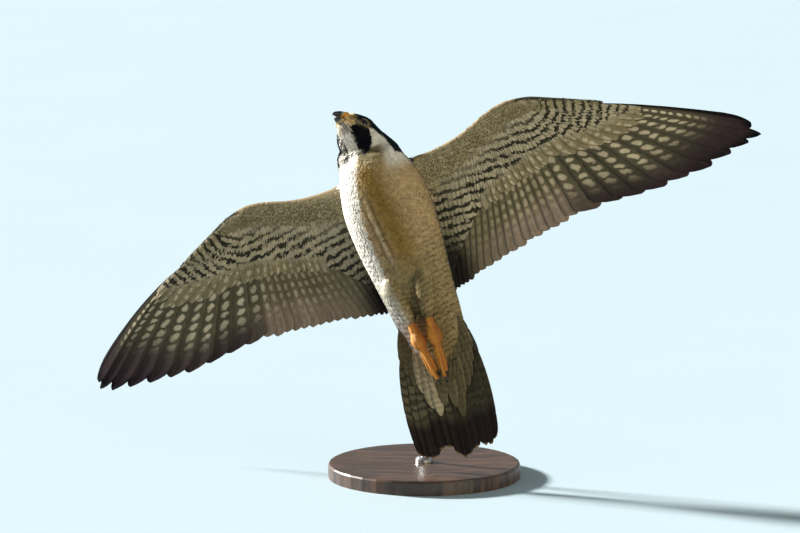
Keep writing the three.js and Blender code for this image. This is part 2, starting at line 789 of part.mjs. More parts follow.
function standBase() {
  const profile = [
    [0, 0], [BASE_RADIUS, 0], [BASE_RADIUS, BASE_HEIGHT - BASE_EDGE],
    [BASE_RADIUS - 0.3 * BASE_EDGE, BASE_HEIGHT - 0.3 * BASE_EDGE],
    [BASE_RADIUS - BASE_EDGE, BASE_HEIGHT], [0, BASE_HEIGHT],
  ].map(([r, z]) => new THREE.Vector2(r, z));
  const geometry = new THREE.LatheGeometry(profile, BASE_SIDES);
  geometry.rotateX(Math.PI / 2);
  return solidOf(geometry);
}

function standCollar() {
  const inner = ROD_RADIUS + GAP;
  const bottom = BASE_HEIGHT + GAP;
  const profile = [
    [inner, bottom], [COLLAR_RADIUS, bottom], [COLLAR_RADIUS, bottom + COLLAR_HEIGHT * 0.6],
    [COLLAR_RADIUS * 0.7, bottom + COLLAR_HEIGHT], [inner, bottom + COLLAR_HEIGHT], [inner, bottom],
  ].map(([r, z]) => new THREE.Vector2(r, z));
  const geometry = new THREE.LatheGeometry(profile, ROD_SIDES);
  geometry.rotateX(Math.PI / 2);
  return solidOf(geometry);
}

function standRod(place) {
  const top = ROD_ENTRY.clone().applyMatrix4(place).z + 40;
  const bottom = BASE_HEIGHT + GAP;
  const shaft = new THREE.CylinderGeometry(ROD_RADIUS, ROD_RADIUS, top - bottom, ROD_SIDES);
  shaft.rotateX(Math.PI / 2);
  shaft.translate(0, 0, (top + bottom) / 2);
  shaft.applyMatrix4(place.clone().invert());
  const cut = geometryOf(largest(solidOf(shaft).subtract(trunk(GAP))));
  cut.applyMatrix4(place);
  return cut;
}

// Assembly

const falcon = new THREE.Group();
const bird = new THREE.Group();
falcon.add(bird);

function addMesh(parent, name, geometry, finish) {
  const mesh = new THREE.Mesh(geometry, new THREE.MeshStandardMaterial(FINISH[finish]));
  mesh.name = name;
  parent.add(mesh);
}

const tailSolid = tail();
const grownTrunk = trunk(GAP);

addMesh(bird, 'torso', geometryOf(trunk()), 'plumage');
addMesh(bird, 'neck', geometryOf(loft(neckRings())), 'plumage');
addMesh(bird, 'head', geometryOf(head()), 'slate');
addMesh(bird, 'cere', geometryOf(cere()), 'skin');
addMesh(bird, 'bill_upper', geometryOf(upperBill()), 'horn');
addMesh(bird, 'bill_lower', geometryOf(loft(LOWER_BILL.map((row) => billRing(row)))), 'horn');
addMesh(bird, 'eye_l', geometryOf(eyeball(1)), 'eye');
addMesh(bird, 'eye_r', geometryOf(eyeball(-1)), 'eye');
addMesh(bird, 'tail', geometryOf(tailSolid), 'plumage');
for (const wing of WINGS) {
  const arm = largest(wingNode(wing, ARM, INNERMOST, 0).subtract(grownTrunk));
  addMesh(bird, `${wing.name}_arm`, geometryOf(arm), 'plumage');
  addMesh(bird, `${wing.name}_hand`, geometryOf(wingNode(wing, handRows(), 1, OUTERMOST)), 'plumage');
  addMesh(bird, `${wing.name}_alula`, geometryOf(alula(wing)), 'slate');
}
for (const leg of LEGS) {
  const thigh = largest(limb(THIGH, 14, leg.sign, leg.shift).subtract(grownTrunk));
  addMesh(bird, `${leg.name}_thigh`, geometryOf(thigh), 'plumage');
  addMesh(bird, `${leg.name}_tarsus`, geometryOf(limb(TARSUS, 10, leg.sign, leg.shift)), 'skin');
  addMesh(bird, `${leg.name}_foot`, geometryOf(foot(leg)), 'skin');
  for (const toe of TOES) addMesh(bird, `${leg.name}_claw_${toe.name}`, geometryOf(claw(leg, toe)), 'horn');
}

const place = birdMatrix();
place.decompose(bird.position, bird.quaternion, bird.scale);
addMesh(falcon, 'stand_base', geometryOf(standBase()), 'wood');
addMesh(falcon, 'stand_collar', geometryOf(standCollar()), 'steel');
addMesh(falcon, 'stand_rod', standRod(place), 'steel');

export default falcon;
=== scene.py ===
# The looks of the life-size peregrine falcon: skin, plumage, head, feet, floor, light and camera.
import math

import bpy
import numpy as np
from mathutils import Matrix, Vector
from mathutils.bvhtree import BVHTree
from mathutils.kdtree import KDTree


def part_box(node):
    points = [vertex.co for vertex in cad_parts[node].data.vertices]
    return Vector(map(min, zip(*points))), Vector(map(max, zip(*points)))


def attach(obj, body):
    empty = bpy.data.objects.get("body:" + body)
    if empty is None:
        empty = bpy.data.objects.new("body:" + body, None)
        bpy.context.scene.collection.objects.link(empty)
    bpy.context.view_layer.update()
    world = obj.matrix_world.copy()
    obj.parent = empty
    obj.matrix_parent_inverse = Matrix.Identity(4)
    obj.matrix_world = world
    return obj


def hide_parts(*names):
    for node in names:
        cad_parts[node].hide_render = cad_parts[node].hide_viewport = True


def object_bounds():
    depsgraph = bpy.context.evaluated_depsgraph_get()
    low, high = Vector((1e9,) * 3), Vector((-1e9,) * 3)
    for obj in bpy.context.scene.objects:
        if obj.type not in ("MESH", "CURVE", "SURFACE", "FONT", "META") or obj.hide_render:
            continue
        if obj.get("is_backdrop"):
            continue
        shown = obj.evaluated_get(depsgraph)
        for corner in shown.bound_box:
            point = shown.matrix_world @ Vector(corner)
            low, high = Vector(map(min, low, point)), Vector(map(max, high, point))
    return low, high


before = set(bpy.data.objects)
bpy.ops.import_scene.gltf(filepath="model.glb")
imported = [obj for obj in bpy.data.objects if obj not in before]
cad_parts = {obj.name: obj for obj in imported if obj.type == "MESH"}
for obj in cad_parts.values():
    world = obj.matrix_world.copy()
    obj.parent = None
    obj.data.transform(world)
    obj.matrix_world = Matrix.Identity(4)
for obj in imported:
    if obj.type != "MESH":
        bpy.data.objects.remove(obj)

CAD_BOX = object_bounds()

# The bird's own frame is in millimetres, as in the part's source: X towards its left, Y towards
# its back, Z towards its head. MM turns those sizes into metres when they reach the world.
MM = 0.001
SEED = 11
TILT_DEG, BANK_DEG, LEAN_DEG = 20, 15, 10

# The trunk: place along the spine, half width, back, belly, sideways shift
TRUNK = [
    [-118, 42, 11, -21, 0], [-104, 44, 14, -26, 0], [-88, 45.5, 17, -32, 0], [-66, 48, 21, -38, 0],
    [-42, 51, 25, -43, 0], [-14, 54.5, 28, -47, 0], [14, 56.5, 30, -50, 0], [42, 56.5, 31, -51, 0],
    [64, 53.5, 31, -50, 0.5], [82, 48, 30, -47, -0.5], [96, 41.5, 28, -43, -1.5],
]
SIDES = 56
ROUNDNESS = 2.25

# The head: place, turn, and rows of forward, half width, up, down
HEAD_CENTRE = np.array([-5.0, -9.0, 137.0])
HEAD_NOD_DEG, HEAD_TURN_DEG, HEAD_ROLL_DEG = 25.7, -14.5, -32
HEAD = [
    [-12, 21.6, 24, -23.5], [-5, 21.6, 24.4, -22.5], [2, 20.8, 22.8, -20.8], [9, 18.4, 19.4, -18.4],
    [15, 15.4, 16, -16.4], [20.5, 12.2, 11.8, -14.2], [25, 9.4, 7.4, -12.4],
]
NECK_REACH = 22
NECK_STEPS = 4
NECK_PULL_LOW, NECK_PULL_HIGH = 0.45, 0.35
CHEEK_SWELL = 15.5
CHEEK_SIDE = np.array([-0.79, -0.61, 0.0])
CHEEK_START = 0.46
CHEEK_FADE = [[-12, 1.3], [-5, 1.12], [2, 0.98], [9, 0.66], [15, 0.3], [20.5, 0.05], [25, 0]]
NAPE_SWELL = 3.5
THROAT_SWELL = 8.5
THROAT_PEAK = 1.7
EYE_PLACE = np.array([13.0, 3.4, 3.6])
EYE_RADIUS = 7.4
EYE_FORWARD_DEG = 22
SIGNS = {"l": 1, "r": -1}
EYE_ROWS, EYE_SIDES, CORNEA_BULGE, CORNEA_ANGLE = 40, 48, 0.045, 0.5
LID_ROWS, LID_SIDES, LID_WRINKLES, LID_RADIUS, LID_OUT = 64, 16, 21, 0.95, 4.9
LID_HALF_LENGTH, LID_HALF_HEIGHT = 5.6, 5.0
EYE_OPENING_OUT, EYE_OPENING_RADIUS = 5.6, 6.4
EYE_RING = 7.6

# Bill rows in the head's side view: forward, up, slope, half width, half height
UPPER_BILL = [
    [29.6, -1.2, 0, 6.6, 4.25], [30.6, -1.4, -4, 6.4, 4.2], [33, -3.4, -24, 5.3, 3.5],
    [35.4, -5.8, -44, 4, 2.9], [37.4, -8, -60, 2.8, 2.3], [38.6, -10.4, -76, 1.5, 1.3],
    [39, -12.4, -90, 0.4, 0.4],
]
CERE = [
    [23.6, 0.4, 0, 8.9, 5.7], [25.3, 0.5, 0, 9, 5.9], [27.6, -0.1, 0, 8.2, 5.3],
    [29.9, -0.9, 0, 7, 4.5],
]
LOWER_BILL = [
    [25.3, -9.2, 0, 7.8, 2.9], [29.5, -9.6, 0, 6, 2.5], [32.4, -10.3, 0, 4.1, 1.8],
    [33.8, -10.6, 0, 2.4, 1.2],
]
NOSTRIL = np.array([8.1, 1.0, 27.8])
NOSTRIL_RADIUS, NOSTRIL_DEPTH, NOSTRIL_LIP = 1.35, 1.9, 0.3
TUBERCLE_START, TUBERCLE_LENGTH, TUBERCLE_RADIUS = 6.6, 1.5, 0.5

# Wing feathers by number: 1 to 10 are primaries, 0 and below are secondaries and tertials
FEATHER_ROOTS = [
    [-16, 68, 61], [-12, 112, 52], [-6, 149, 67], [0, 187, 84], [1, 196, 86], [5, 226, 83],
    [10, 262, 76],
]
FEATHER_TIPS = [
    [-16, 50, -86], [-12, 76, -78], [-6, 141, -63], [0, 213, -51], [1, 237, -50], [3, 295, -54],
    [5, 353, -53], [7, 409, -44], [8, 434, -39], [9, 450, -33], [10, 446, -18],
]
INNERMOST, WRIST, OUTERMOST = -16, 0.5, 10

# The wing's flesh: front edge and rear edge in plan, and half thickness
CORE = [
    [34, 84, 34, -16, 10], [50, 86.5, 52, 8, 8.5], [68, 85.5, 72, 35, 7.2], [92, 88, 98, 41, 6.6],
    [118, 94, 124, 47, 6.2], [146, 104.5, 151, 58, 5.9], [168, 110, 175, 69, 5.6],
    [185, 109.6, 193.3, 75.6, 5.4], [206, 104.8, 209, 77, 5.3], [226, 96.5, 227, 75, 5.2],
    [244, 88.6, 243.5, 72, 5], [262, 80.8, 261, 68.5, 4.5], [277, 73.6, 276, 65.2, 3.4],
    [287, 68.8, 286, 64.3, 1.8],
]
CORE_SIDES, CORE_STEPS = 24, 60
CHORD_SKEW, CHORD_FULLNESS, CHORD_MARGIN, THINNEST = 0.62, 0.75, 0.03, 0.6
WING_LEVEL, WING_RISE, TIP_CURL, TIP_CURL_FROM = 7, 0.1, 0.00022, 180
SWEEP_PIVOT, DROP_WIDTH = 60, 100
ARCH, ARCH_MIDDLE, SHOULDER, WRIST_PLACE = 0.0009, 25, 40, 190
WINGS = {
    "l": {"sign": 1, "sweep": 0, "drop": 0, "bow": 0.016, "stretch": 1.004},
    "r": {"sign": -1, "sweep": -2.4, "drop": 5, "bow": 0.042, "stretch": 1.016},
}

# The tail
TAIL_ROOT = np.array([0.0, -5.0, -118.0])
TAIL_SWING_DEG = 7
TAIL_PAIRS = 6
TAIL_SLANT, TAIL_ROOT_SPREAD, TAIL_BOW, TAIL_ARCH, TAIL_ROOT_DEPTH = 0.02, 7.3, 8, 0.0022, 8
TAIL_TIPS = [
    [-5.5, -49, 151], [-4.5, -42, 157], [-3.5, -35, 158], [-2.5, -21, 157], [-1.5, -12, 155], [-0.5, -4, 159],
    [0.5, 5, 166], [1.5, 14, 162], [2.5, 23, 155], [3.5, 34, 158], [4.5, 42.5, 155], [5.5, 50, 147],
]
TAIL_CORE = [[14, 40, 13, -14], [30, 34, 8, -10], [46, 25, 4, -6], [58, 14, 1.5, -2.5]]
TAIL_STEP = 0.95

# Legs, for the left one: x, y, z, radius
LEGS = {"l": {"sign": 1, "shift": -3}, "r": {"sign": -1, "shift": -5}}
LEG_SIDES, FOOT_SIDES, TOE_SIDES, CLAW_SIDES = 24, 28, 18, 16
THIGH = [
    [24, -33, -48, 9], [21, -35, -62, 13], [17, -36, -80, 12.5], [12.5, -36, -94, 9],
    [11, -35.5, -103, 6],
]
TARSUS = [
    [11, -35.4, -98, 4.5], [11, -35.4, -103.9, 4.6], [10.8, -34.6, -111, 4.9],
    [10.3, -33.8, -120, 5.8],
]
PALM = [
    [10.3, -33.8, -117, 5.6], [10, -33.4, -123.5, 8.2], [9.8, -33.1, -129, 9.2],
    [9.3, -32.8, -135, 8], [8.9, -32.6, -139.5, 5.4],
]
TOES = {
    "inner": {"side": -3.6, "splay": -1.6, "lift": -0.4, "length": 36, "radius": 2.9},
    "middle": {"side": 0.1, "splay": 0, "lift": -2.6, "length": 46, "radius": 3.1},
    "outer": {"side": 3.8, "splay": 2.4, "lift": -0.2, "length": 40, "radius": 2.8},
    "hind": {"side": -0.4, "splay": 0, "lift": 4.4, "length": 22, "radius": 2.8},
}
TOE_START = [9.3, -32.4, -134]
TOE_INWARD, TOE_SIDEWAYS, TOE_SPLAY = 0.12, 0.85, 0.5
CLAW_LENGTH, CLAW_CURVE = 14, 1.25
CLAW_RADIUS = 1.9

# How deep the skin lies inside the plumage
COAT_DEPTH = {"head": 1.6, "neck": 3.0, "body": 3.6, "wing": 1.0, "thigh": 2.2}
SKIN_VOXEL = 1.7

# The camera, as the photograph sees the bird
CAMERA_DISTANCE = 8.133
CAMERA_LENS = 300
CAMERA_ELEVATION_DEG = 10
PIXEL_MM = 1.22
CAMERA_DROP = 31.5 * PIXEL_MM * MM

# The sun, from the bird: to the left and behind it, high enough to keep its shadow low in the picture
SUN_FROM = (-0.82, 0.38, 0.375)
SUN_STRENGTH = 12.0
SUN_SIZE_DEG = 7
SUN_COLOUR = (1.0, 0.98, 0.95)

# Light from the room, and a warm lamp in front and to the right, near the floor
ROOM_COLOUR, ROOM_STRENGTH = (0.84, 0.94, 1.0, 1), 0.31
WARM_PLACE, WARM_SIZE, WARM_POWER, WARM_COLOUR = (2.3, -2.6, 0.4), 2.0, 58, (1.0, 0.87, 0.56)
FLOOR_SIZE = 80

# Scales of bare skin: how many, and how deep in metres
FINE_SCALES, FOOT_SCALES = (2600, 0.0001), (900, 0.0003)


def srgb(red, green, blue):
    """Linear colour from the usual 0 to 255 values."""
    channels = np.array([red, green, blue]) / 255.0
    return np.where(channels <= 0.04045, channels / 12.92, ((channels + 0.055) / 1.055) ** 2.4)


# Colours of the plumage and bare parts
CREAM = srgb(240, 228, 204)
WHITE = srgb(250, 244, 230)
BUFF = srgb(204, 176, 132)
# Painted warm shade on the breast, over its buff wash
SHADE_GOLD = srgb(152, 120, 54)
TAN = srgb(214, 202, 168)
OLIVE = srgb(160, 146, 104)
OLIVE_SPECK = srgb(104, 94, 66)
DARK_BAR = srgb(40, 42, 34)
SPOT_DARK = srgb(84, 70, 52)
SLATE = srgb(98, 108, 122)
SLATE_DARK = srgb(46, 53, 64)
BLACKISH = srgb(13, 13, 19)
HOOD = srgb(20, 32, 42)
# Painted shade under the chin
CHIN_SHADE = srgb(176, 148, 104)
PEACH = srgb(250, 206, 146)
LORES = srgb(132, 114, 66)
UNDER_GREY = srgb(104, 98, 78)
OVAL = srgb(234, 218, 184)
PINKISH_GREY = srgb(178, 156, 138)
TIP_DARK = srgb(64, 50, 54)
TAIL_GREY = srgb(112, 104, 82)
TAIL_BAR = srgb(58, 54, 44)
HORN_BASE = (0.36, 0.35, 0.30, 1)
HORN_TIP = (0.006, 0.006, 0.009, 1)
LOWER_BASE = (0.50, 0.38, 0.19, 1)
YELLOW = (0.80, 0.52, 0.09, 1)
CREAM_YELLOW = (0.84, 0.66, 0.30, 1)
OLIVE_YELLOW = (0.20, 0.17, 0.07, 1)
LID_YELLOW = (0.42, 0.32, 0.10, 1)
ORANGE = (0.98, 0.42, 0.035, 1)
DEEP_ORANGE = (0.85, 0.28, 0.02, 1)
# Painted shade on the side of each foot that faces away from the sun
SHADE_ORANGE = (0.30, 0.085, 0.008, 1)
SHAFT_BROWN = (0.09, 0.065, 0.045, 1)
IRIS_BROWN, IRIS_DARK = (0.045, 0.018, 0.008, 1), (0.018, 0.007, 0.004, 1)
PUPIL = (0.0015, 0.0012, 0.001, 1)
CLAW_BLACK, CLAW_GREY = (0.012, 0.011, 0.011, 1), (0.035, 0.03, 0.028, 1)
WOOD_DARK, WOOD_BROWN = (0.028, 0.014, 0.008, 1), (0.11, 0.055, 0.028, 1)
FLOOR_BLUE, FLOOR_PALE = (0.40, 0.505, 0.545, 1), (0.415, 0.52, 0.56, 1)


# Turns and smooth curves

def turn(axis, degrees):
    """Turn about X, Y or Z, which are axes 0, 1 and 2."""
    c, s = math.cos(math.radians(degrees)), math.sin(math.radians(degrees))
    first, second = (axis + 1) % 3, (axis + 2) % 3
    matrix = np.eye(3)
    matrix[first, first] = matrix[second, second] = c
    matrix[first, second], matrix[second, first] = -s, s
    return matrix


BIRD_TURN = turn(0, -LEAN_DEG) @ turn(1, -TILT_DEG) @ turn(2, -BANK_DEG)
HEAD_TURN = turn(1, HEAD_TURN_DEG) @ turn(0, HEAD_NOD_DEG) @ turn(2, HEAD_ROLL_DEG)


def unit(vectors):
    return vectors / np.maximum(np.linalg.norm(vectors, axis=-1, keepdims=True), 1e-9)


def circle(count):
    """Angles of points spread evenly round a circle."""
    return 2 * np.pi * np.arange(count) / count


def smoothstep(x, low, high):
    t = np.clip((x - low) / (high - low), 0, 1)
    return t * t * (3 - 2 * t)


def between(x, start, full, last, end):
    """1 from full to last, fading to 0 at start and at end."""
    return smoothstep(x, start, full) * (1 - smoothstep(x, last, end))


def read_off(at, rows):
    """The second value of a table of two columns, in straight lines between its rows."""
    return np.interp(at, *np.transpose(rows))


def mix(a, b, part):
    """One colour or list of colours turned into another by this share."""
    part = np.asarray(part)[..., None]
    return a * (1 - part) + b * part


def along(rows, at):
    """Smooth curve through rows whose first value is the parameter."""
    rows, at = np.asarray(rows, float), np.asarray(at, float)
    keys, values = rows[:, 0], rows[:, 1:]
    seg = np.clip(np.searchsorted(keys, at, side="right") - 1, 0, len(keys) - 2)
    before, after = np.maximum(seg - 1, 0), np.minimum(seg + 2, len(keys) - 1)
    start = (values[seg + 1] - values[before]) / (keys[seg + 1] - keys[before])[..., None]
    end = (values[after] - values[seg]) / (keys[after] - keys[seg])[..., None]
    span = (keys[seg + 1] - keys[seg])[..., None]
    t = (at - keys[seg])[..., None] / span
    pull = start * t * (1 - t) ** 2 - end * t * t * (1 - t)
    curve = values[seg] + (values[seg + 1] - values[seg]) * t * t * (3 - 2 * t) + span * pull
    curve = np.where(t < 0, values[seg] + start * t * span, curve)
    return np.where(t > 1, values[seg + 1] + end * (t - 1) * span, curve)


def in_order(rows, at):
    """Smooth curve through rows by their place in the list."""
    rows = np.array(rows, float)
    return along(np.column_stack([np.arange(len(rows)), rows]), at)


def finer(rows, steps):
    """The rows with this many steps from each to the next."""
    return in_order(rows, np.linspace(0, len(rows) - 1, (len(rows) - 1) * steps + 1))


def head_points(points):
    return np.asarray(points, float) @ HEAD_TURN.T + HEAD_CENTRE


def bird_place():
    low, high = (np.array(corner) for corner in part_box("eye_l"))
    return (low + high) / 2 - BIRD_TURN @ head_points(EYE_PLACE) * MM


BIRD_PLACE = bird_place()


def to_world(points):
    return np.asarray(points) @ BIRD_TURN.T * MM + BIRD_PLACE


def in_bird(points):
    """Points of the world in the bird's frame."""
    return (points - BIRD_PLACE) / MM @ BIRD_TURN


def in_head(points):
    """Points of the bird's frame in the head's: sideways, up and forward."""
    return (points - HEAD_CENTRE) @ HEAD_TURN


# Rings of the body, from the base of the bill back to the tail

def oval(half_width, up, down):
    c, s = np.cos(circle(SIDES)), np.sin(circle(SIDES))
    power = 2 / ROUNDNESS
    x = np.sign(c) * np.abs(c) ** power * half_width
    y = (up + down) / 2 + np.sign(s) * np.abs(s) ** power * (up - down) / 2
    return np.stack([x, y, np.zeros(SIDES)], axis=1)


def trunk_ring(row):
    z, half_width, back, belly, shift = row
    return oval(half_width, back, belly) + [shift, 0, z]


def head_ring(row):
    forward, half_width, up, down = row
    ring = oval(half_width, up, down)
    cheekward = ring @ CHEEK_SIDE / math.hypot(half_width, down)
    part = np.clip((cheekward - CHEEK_START) / (1 - CHEEK_START), 0, 1)
    fade = float(along(CHEEK_FADE, forward)[0])
    ring += CHEEK_SIDE * (CHEEK_SWELL * fade * part)[:, None]
    ring[:, 2] = forward
    return head_points(ring)


def neck_ring(t):
    start, end = trunk_ring(TRUNK[-1]), head_ring(HEAD[0])
    pull_a = start + [0, 0, NECK_REACH * NECK_PULL_LOW]
    pull_b = end - HEAD_TURN[:, 2] * NECK_REACH * NECK_PULL_HIGH
    ring = start * (1 - t) ** 3 + pull_a * 3 * t * (1 - t) ** 2
    ring += pull_b * 3 * t * t * (1 - t) + end * t ** 3
    side = (start[:, 0] - TRUNK[-1][4]) / TRUNK[-1][1]
    throat = THROAT_SWELL * math.sin(math.pi * t ** THROAT_PEAK)
    nape = NAPE_SWELL * math.sin(math.pi * t)
    ring[:, 0] += np.where(side < 0, throat, nape) * side
    return ring


def tail_points(lateral, back, lift):
    swing = math.radians(TAIL_SWING_DEG)
    x = TAIL_ROOT[0] + lateral * math.cos(swing) - back * math.sin(swing)
    y = TAIL_ROOT[1] - TAIL_ARCH * lateral ** 2 - TAIL_SLANT * back + lift
    z = TAIL_ROOT[2] - back * math.cos(swing) - lateral * math.sin(swing)
    return np.stack(np.broadcast_arrays(x, y, z), axis=-1)


def tail_core_ring(row):
    back, half_width, up, down = row
    ring = oval(half_width, up, down)
    return tail_points(ring[:, 0], back, ring[:, 1] + TAIL_ARCH * ring[:, 0] ** 2)


def body_rings():
    """Rings with a region value each: 0 to 1 head, to 2 neck, to 3 trunk, beyond tail base."""
    head, trunk = HEAD[::-1], TRUNK[::-1]
    rings = [(i / (len(head) - 1), head_ring(row)) for i, row in enumerate(head)]
    rings += [(1 + i / NECK_STEPS, neck_ring(1 - i / NECK_STEPS)) for i in range(1, NECK_STEPS)]
    rings += [(2 + i / len(trunk), trunk_ring(row)) for i, row in enumerate(trunk)]
    rings += [(3 + i / len(TAIL_CORE), tail_core_ring(row)) for i, row in enumerate(TAIL_CORE)]
    return rings


def dense_body(steps=8):
    """The regions and points of many rings down the body."""
    regions, rings = zip(*body_rings())
    at = np.linspace(0, len(rings) - 1, (len(rings) - 1) * steps + 1)
    grid = in_order([ring.ravel() for ring in rings], at).reshape(len(at), SIDES, 3)
    return np.interp(at, np.arange(len(rings)), regions), grid


def body_arc():
    """Distance down the body of each of its rings."""
    steps = np.linalg.norm(np.diff(BODY, axis=0), axis=2).mean(axis=1)
    return np.concatenate([[0], np.cumsum(steps)])


REGIONS, BODY = dense_body()


def grid_normals(grid):
    around = np.roll(grid, -1, axis=1) - np.roll(grid, 1, axis=1)
    lengthways = np.gradient(grid, axis=0)
    normals = unit(np.cross(around, lengthways))
    outward = grid - grid.mean(axis=1, keepdims=True)
    flip = np.sign((normals * outward).sum(axis=-1).mean(axis=1))
    return normals * flip[:, None, None]


# The small feathers bridge the body's hollows from the head to the breast, but no deeper than this
BRIDGE = 18.0
DEEPEST_BRIDGE = 15.0
BRIDGED_REGIONS = (0.4, 0.85, 2.2, 2.5)


def hollows():
    """How far the body's surface lies below a line drawn smoothly along it."""
    arc = body_arc()
    weight = np.exp(-(((arc[:, None] - arc[None]) / BRIDGE) ** 2)) * np.gradient(arc)[None]
    weight /= weight.sum(axis=1, keepdims=True)
    smooth = np.einsum("ij,jkl->ikl", weight, BODY)
    depth = ((smooth - BODY) * grid_normals(BODY)).sum(axis=-1)
    return np.clip(depth, 0, DEEPEST_BRIDGE) * between(REGIONS, *BRIDGED_REGIONS)[:, None]


def tree_of(points):
    tree = KDTree(len(points))
    for index, point in enumerate(points):
        tree.insert(point, index)
    tree.balance()
    return tree


HOLLOW = hollows()
BODY_TREE = tree_of(BODY.reshape(-1, 3))


# Wings

def shaft_points(wing, number, t):
    """Places in the wing's plan at a share of a feather's length."""
    number, t = np.broadcast_arrays(np.asarray(number, float), np.asarray(t, float))
    t = np.where((t > 0) & (number > WRIST), t * wing["stretch"], t)
    root, tip = along(FEATHER_ROOTS, number), along(FEATHER_TIPS, number)
    bow = wing["bow"] * smoothstep(number, 0, 8) * 4 * t * (1 - t)
    run = tip - root
    u = root[..., 0] + run[..., 0] * t - run[..., 1] * bow
    v = root[..., 1] + run[..., 1] * t + run[..., 0] * bow
    return u, v


def shaft_length(number):
    run = along(FEATHER_TIPS, number) - along(FEATHER_ROOTS, number)
    return np.hypot(run[..., 0], run[..., 1])


def wing_points(wing, u, v, lift):
    """Points in the bird's frame from places in the wing's plan and a height over it."""
    curl = TIP_CURL * np.maximum(u - TIP_CURL_FROM, 0) ** 2
    y = WING_LEVEL + WING_RISE * (u - SHOULDER) + curl - ARCH * (v - ARCH_MIDDLE) ** 2 + lift
    drop = wing["drop"] * np.exp(-(((u - WRIST_PLACE) / DROP_WIDTH) ** 2))
    sweep = math.radians(wing["sweep"])
    du, dv = u - SHOULDER, v - drop - SWEEP_PIVOT
    x = SHOULDER + du * math.cos(sweep) - dv * math.sin(sweep)
    z = SWEEP_PIVOT + du * math.sin(sweep) + dv * math.cos(sweep)
    return np.stack([wing["sign"] * x, y, z], axis=-1)


def core_points(wing, row, chord, face, shrink=0.0):
    """Points of the wing's flesh at a share of the chord, above (face 1) or below (face -1)."""
    front_u, front_v, rear_u, rear_v, half = (row[..., i] for i in range(5))
    roundness = np.sin(np.pi * chord ** CHORD_SKEW) ** CHORD_FULLNESS
    u = front_u + (rear_u - front_u) * chord
    v = front_v + (rear_v - front_v) * chord
    return wing_points(wing, u, v, face * np.maximum(half - shrink, THINNEST) * roundness)


# Meshes

def link(obj):
    bpy.context.scene.collection.objects.link(obj)
    return obj


def grid_faces(rows, columns, closed=False):
    """Four-cornered faces over a grid of points, round to the first column where it is closed."""
    r, c = np.meshgrid(np.arange(rows - 1), np.arange(columns if closed else columns - 1), indexing="ij")
    right, below = (c + 1) % columns, r + 1
    corners = [(r, c), (r, right), (below, right), (below, c)]
    return np.stack([row * columns + column for row, column in corners], -1).reshape(-1, 4)


def mesh_object(name, points, quads):
    """A smooth mesh from points in the bird's frame and four-cornered faces."""
    mesh = bpy.data.meshes.new(name)
    points = to_world(points)
    mesh.vertices.add(len(points))
    mesh.vertices.foreach_set("co", points.astype(np.float32).ravel())
    mesh.loops.add(quads.size)
    mesh.loops.foreach_set("vertex_index", quads.astype(np.int32).ravel())
    mesh.polygons.add(len(quads))
    mesh.polygons.foreach_set("loop_start", np.arange(0, quads.size, 4, dtype=np.int32))
    mesh.polygons.foreach_set("use_smooth", np.ones(len(quads), bool))
    mesh.update(calc_edges=True)
    return link(bpy.data.objects.new(name, mesh))


def joined(parts):
    """One list of points and one of faces from many pairs of them."""
    points, faces, count = [], [], 0
    for part_points, part_faces in parts:
        points.append(part_points)
        faces.append(part_faces + count)
        count += len(part_points)
    return np.concatenate(points), np.concatenate(faces)


def read(items, name, width=3, kind=np.float32):
    """One property of all of a mesh's points, corners or faces, a row each."""
    values = np.empty(len(items) * width, kind)
    items.foreach_get(name, values)
    return values.reshape(-1, width)


CAP_SHARE = 0.02


def tube_grid(rings):
    """Closed skin over rings: each end narrows to a small ring round its middle."""
    rings = np.asarray(rings, float)
    caps = [ring.mean(axis=0) + (ring - ring.mean(axis=0)) * CAP_SHARE for ring in rings[[0, -1]]]
    grid = np.concatenate([caps[:1], rings, caps[1:]])
    return grid.reshape(-1, 3), grid_faces(*grid.shape[:2], closed=True)


def tube_object(name, tubes, place=np.asarray):
    """One mesh from the rings of each of its tubes, where place takes points to the bird's frame."""
    points, quads = joined(tube_grid(rings) for rings in tubes)
    return mesh_object(name, place(points), quads)


ATTRIBUTE_FIELDS = {"FLOAT_COLOR": "color", "FLOAT_VECTOR": "vector", "FLOAT": "value"}


def paint(obj, name, values, kind="FLOAT_COLOR"):
    """Give each point of a mesh a named colour, vector or number."""
    values = np.asarray(values, np.float32)
    if kind == "FLOAT_COLOR" and values.shape[-1] == 3:
        values = np.concatenate([values, np.ones(values.shape[:-1] + (1,), np.float32)], axis=-1)
    layer = obj.data.attributes.new(name, kind, "POINT")
    layer.data.foreach_set(ATTRIBUTE_FIELDS[kind], values.ravel())


def bake_map(obj, corner_uv):
    layer = obj.data.uv_layers.new(name="OFBake")
    layer.data.foreach_set("uv", np.asarray(corner_uv, np.float32).ravel())


# Skin

def limb_rings(rows, sides, leg=None, grow=0.0, steps=1):
    """Round rings along rows of x, y, z and radius, moved to one leg where one is given."""
    rows = np.array(rows, float)
    if leg:
        rows[:, 0] = leg["sign"] * rows[:, 0] + leg["shift"]
    rows = finer(rows, steps)
    centres, radii = rows[:, :3], rows[:, 3] + grow
    headings = unit(np.gradient(centres, axis=0))
    across = unit(np.cross(headings, [0.0, 1.0, 0.0]))
    upward = np.cross(across, headings)
    angle = circle(sides)[None, :, None]
    offset = across[:, None] * np.cos(angle) + upward[:, None] * np.sin(angle)
    return centres[:, None] + offset * radii[:, None, None]


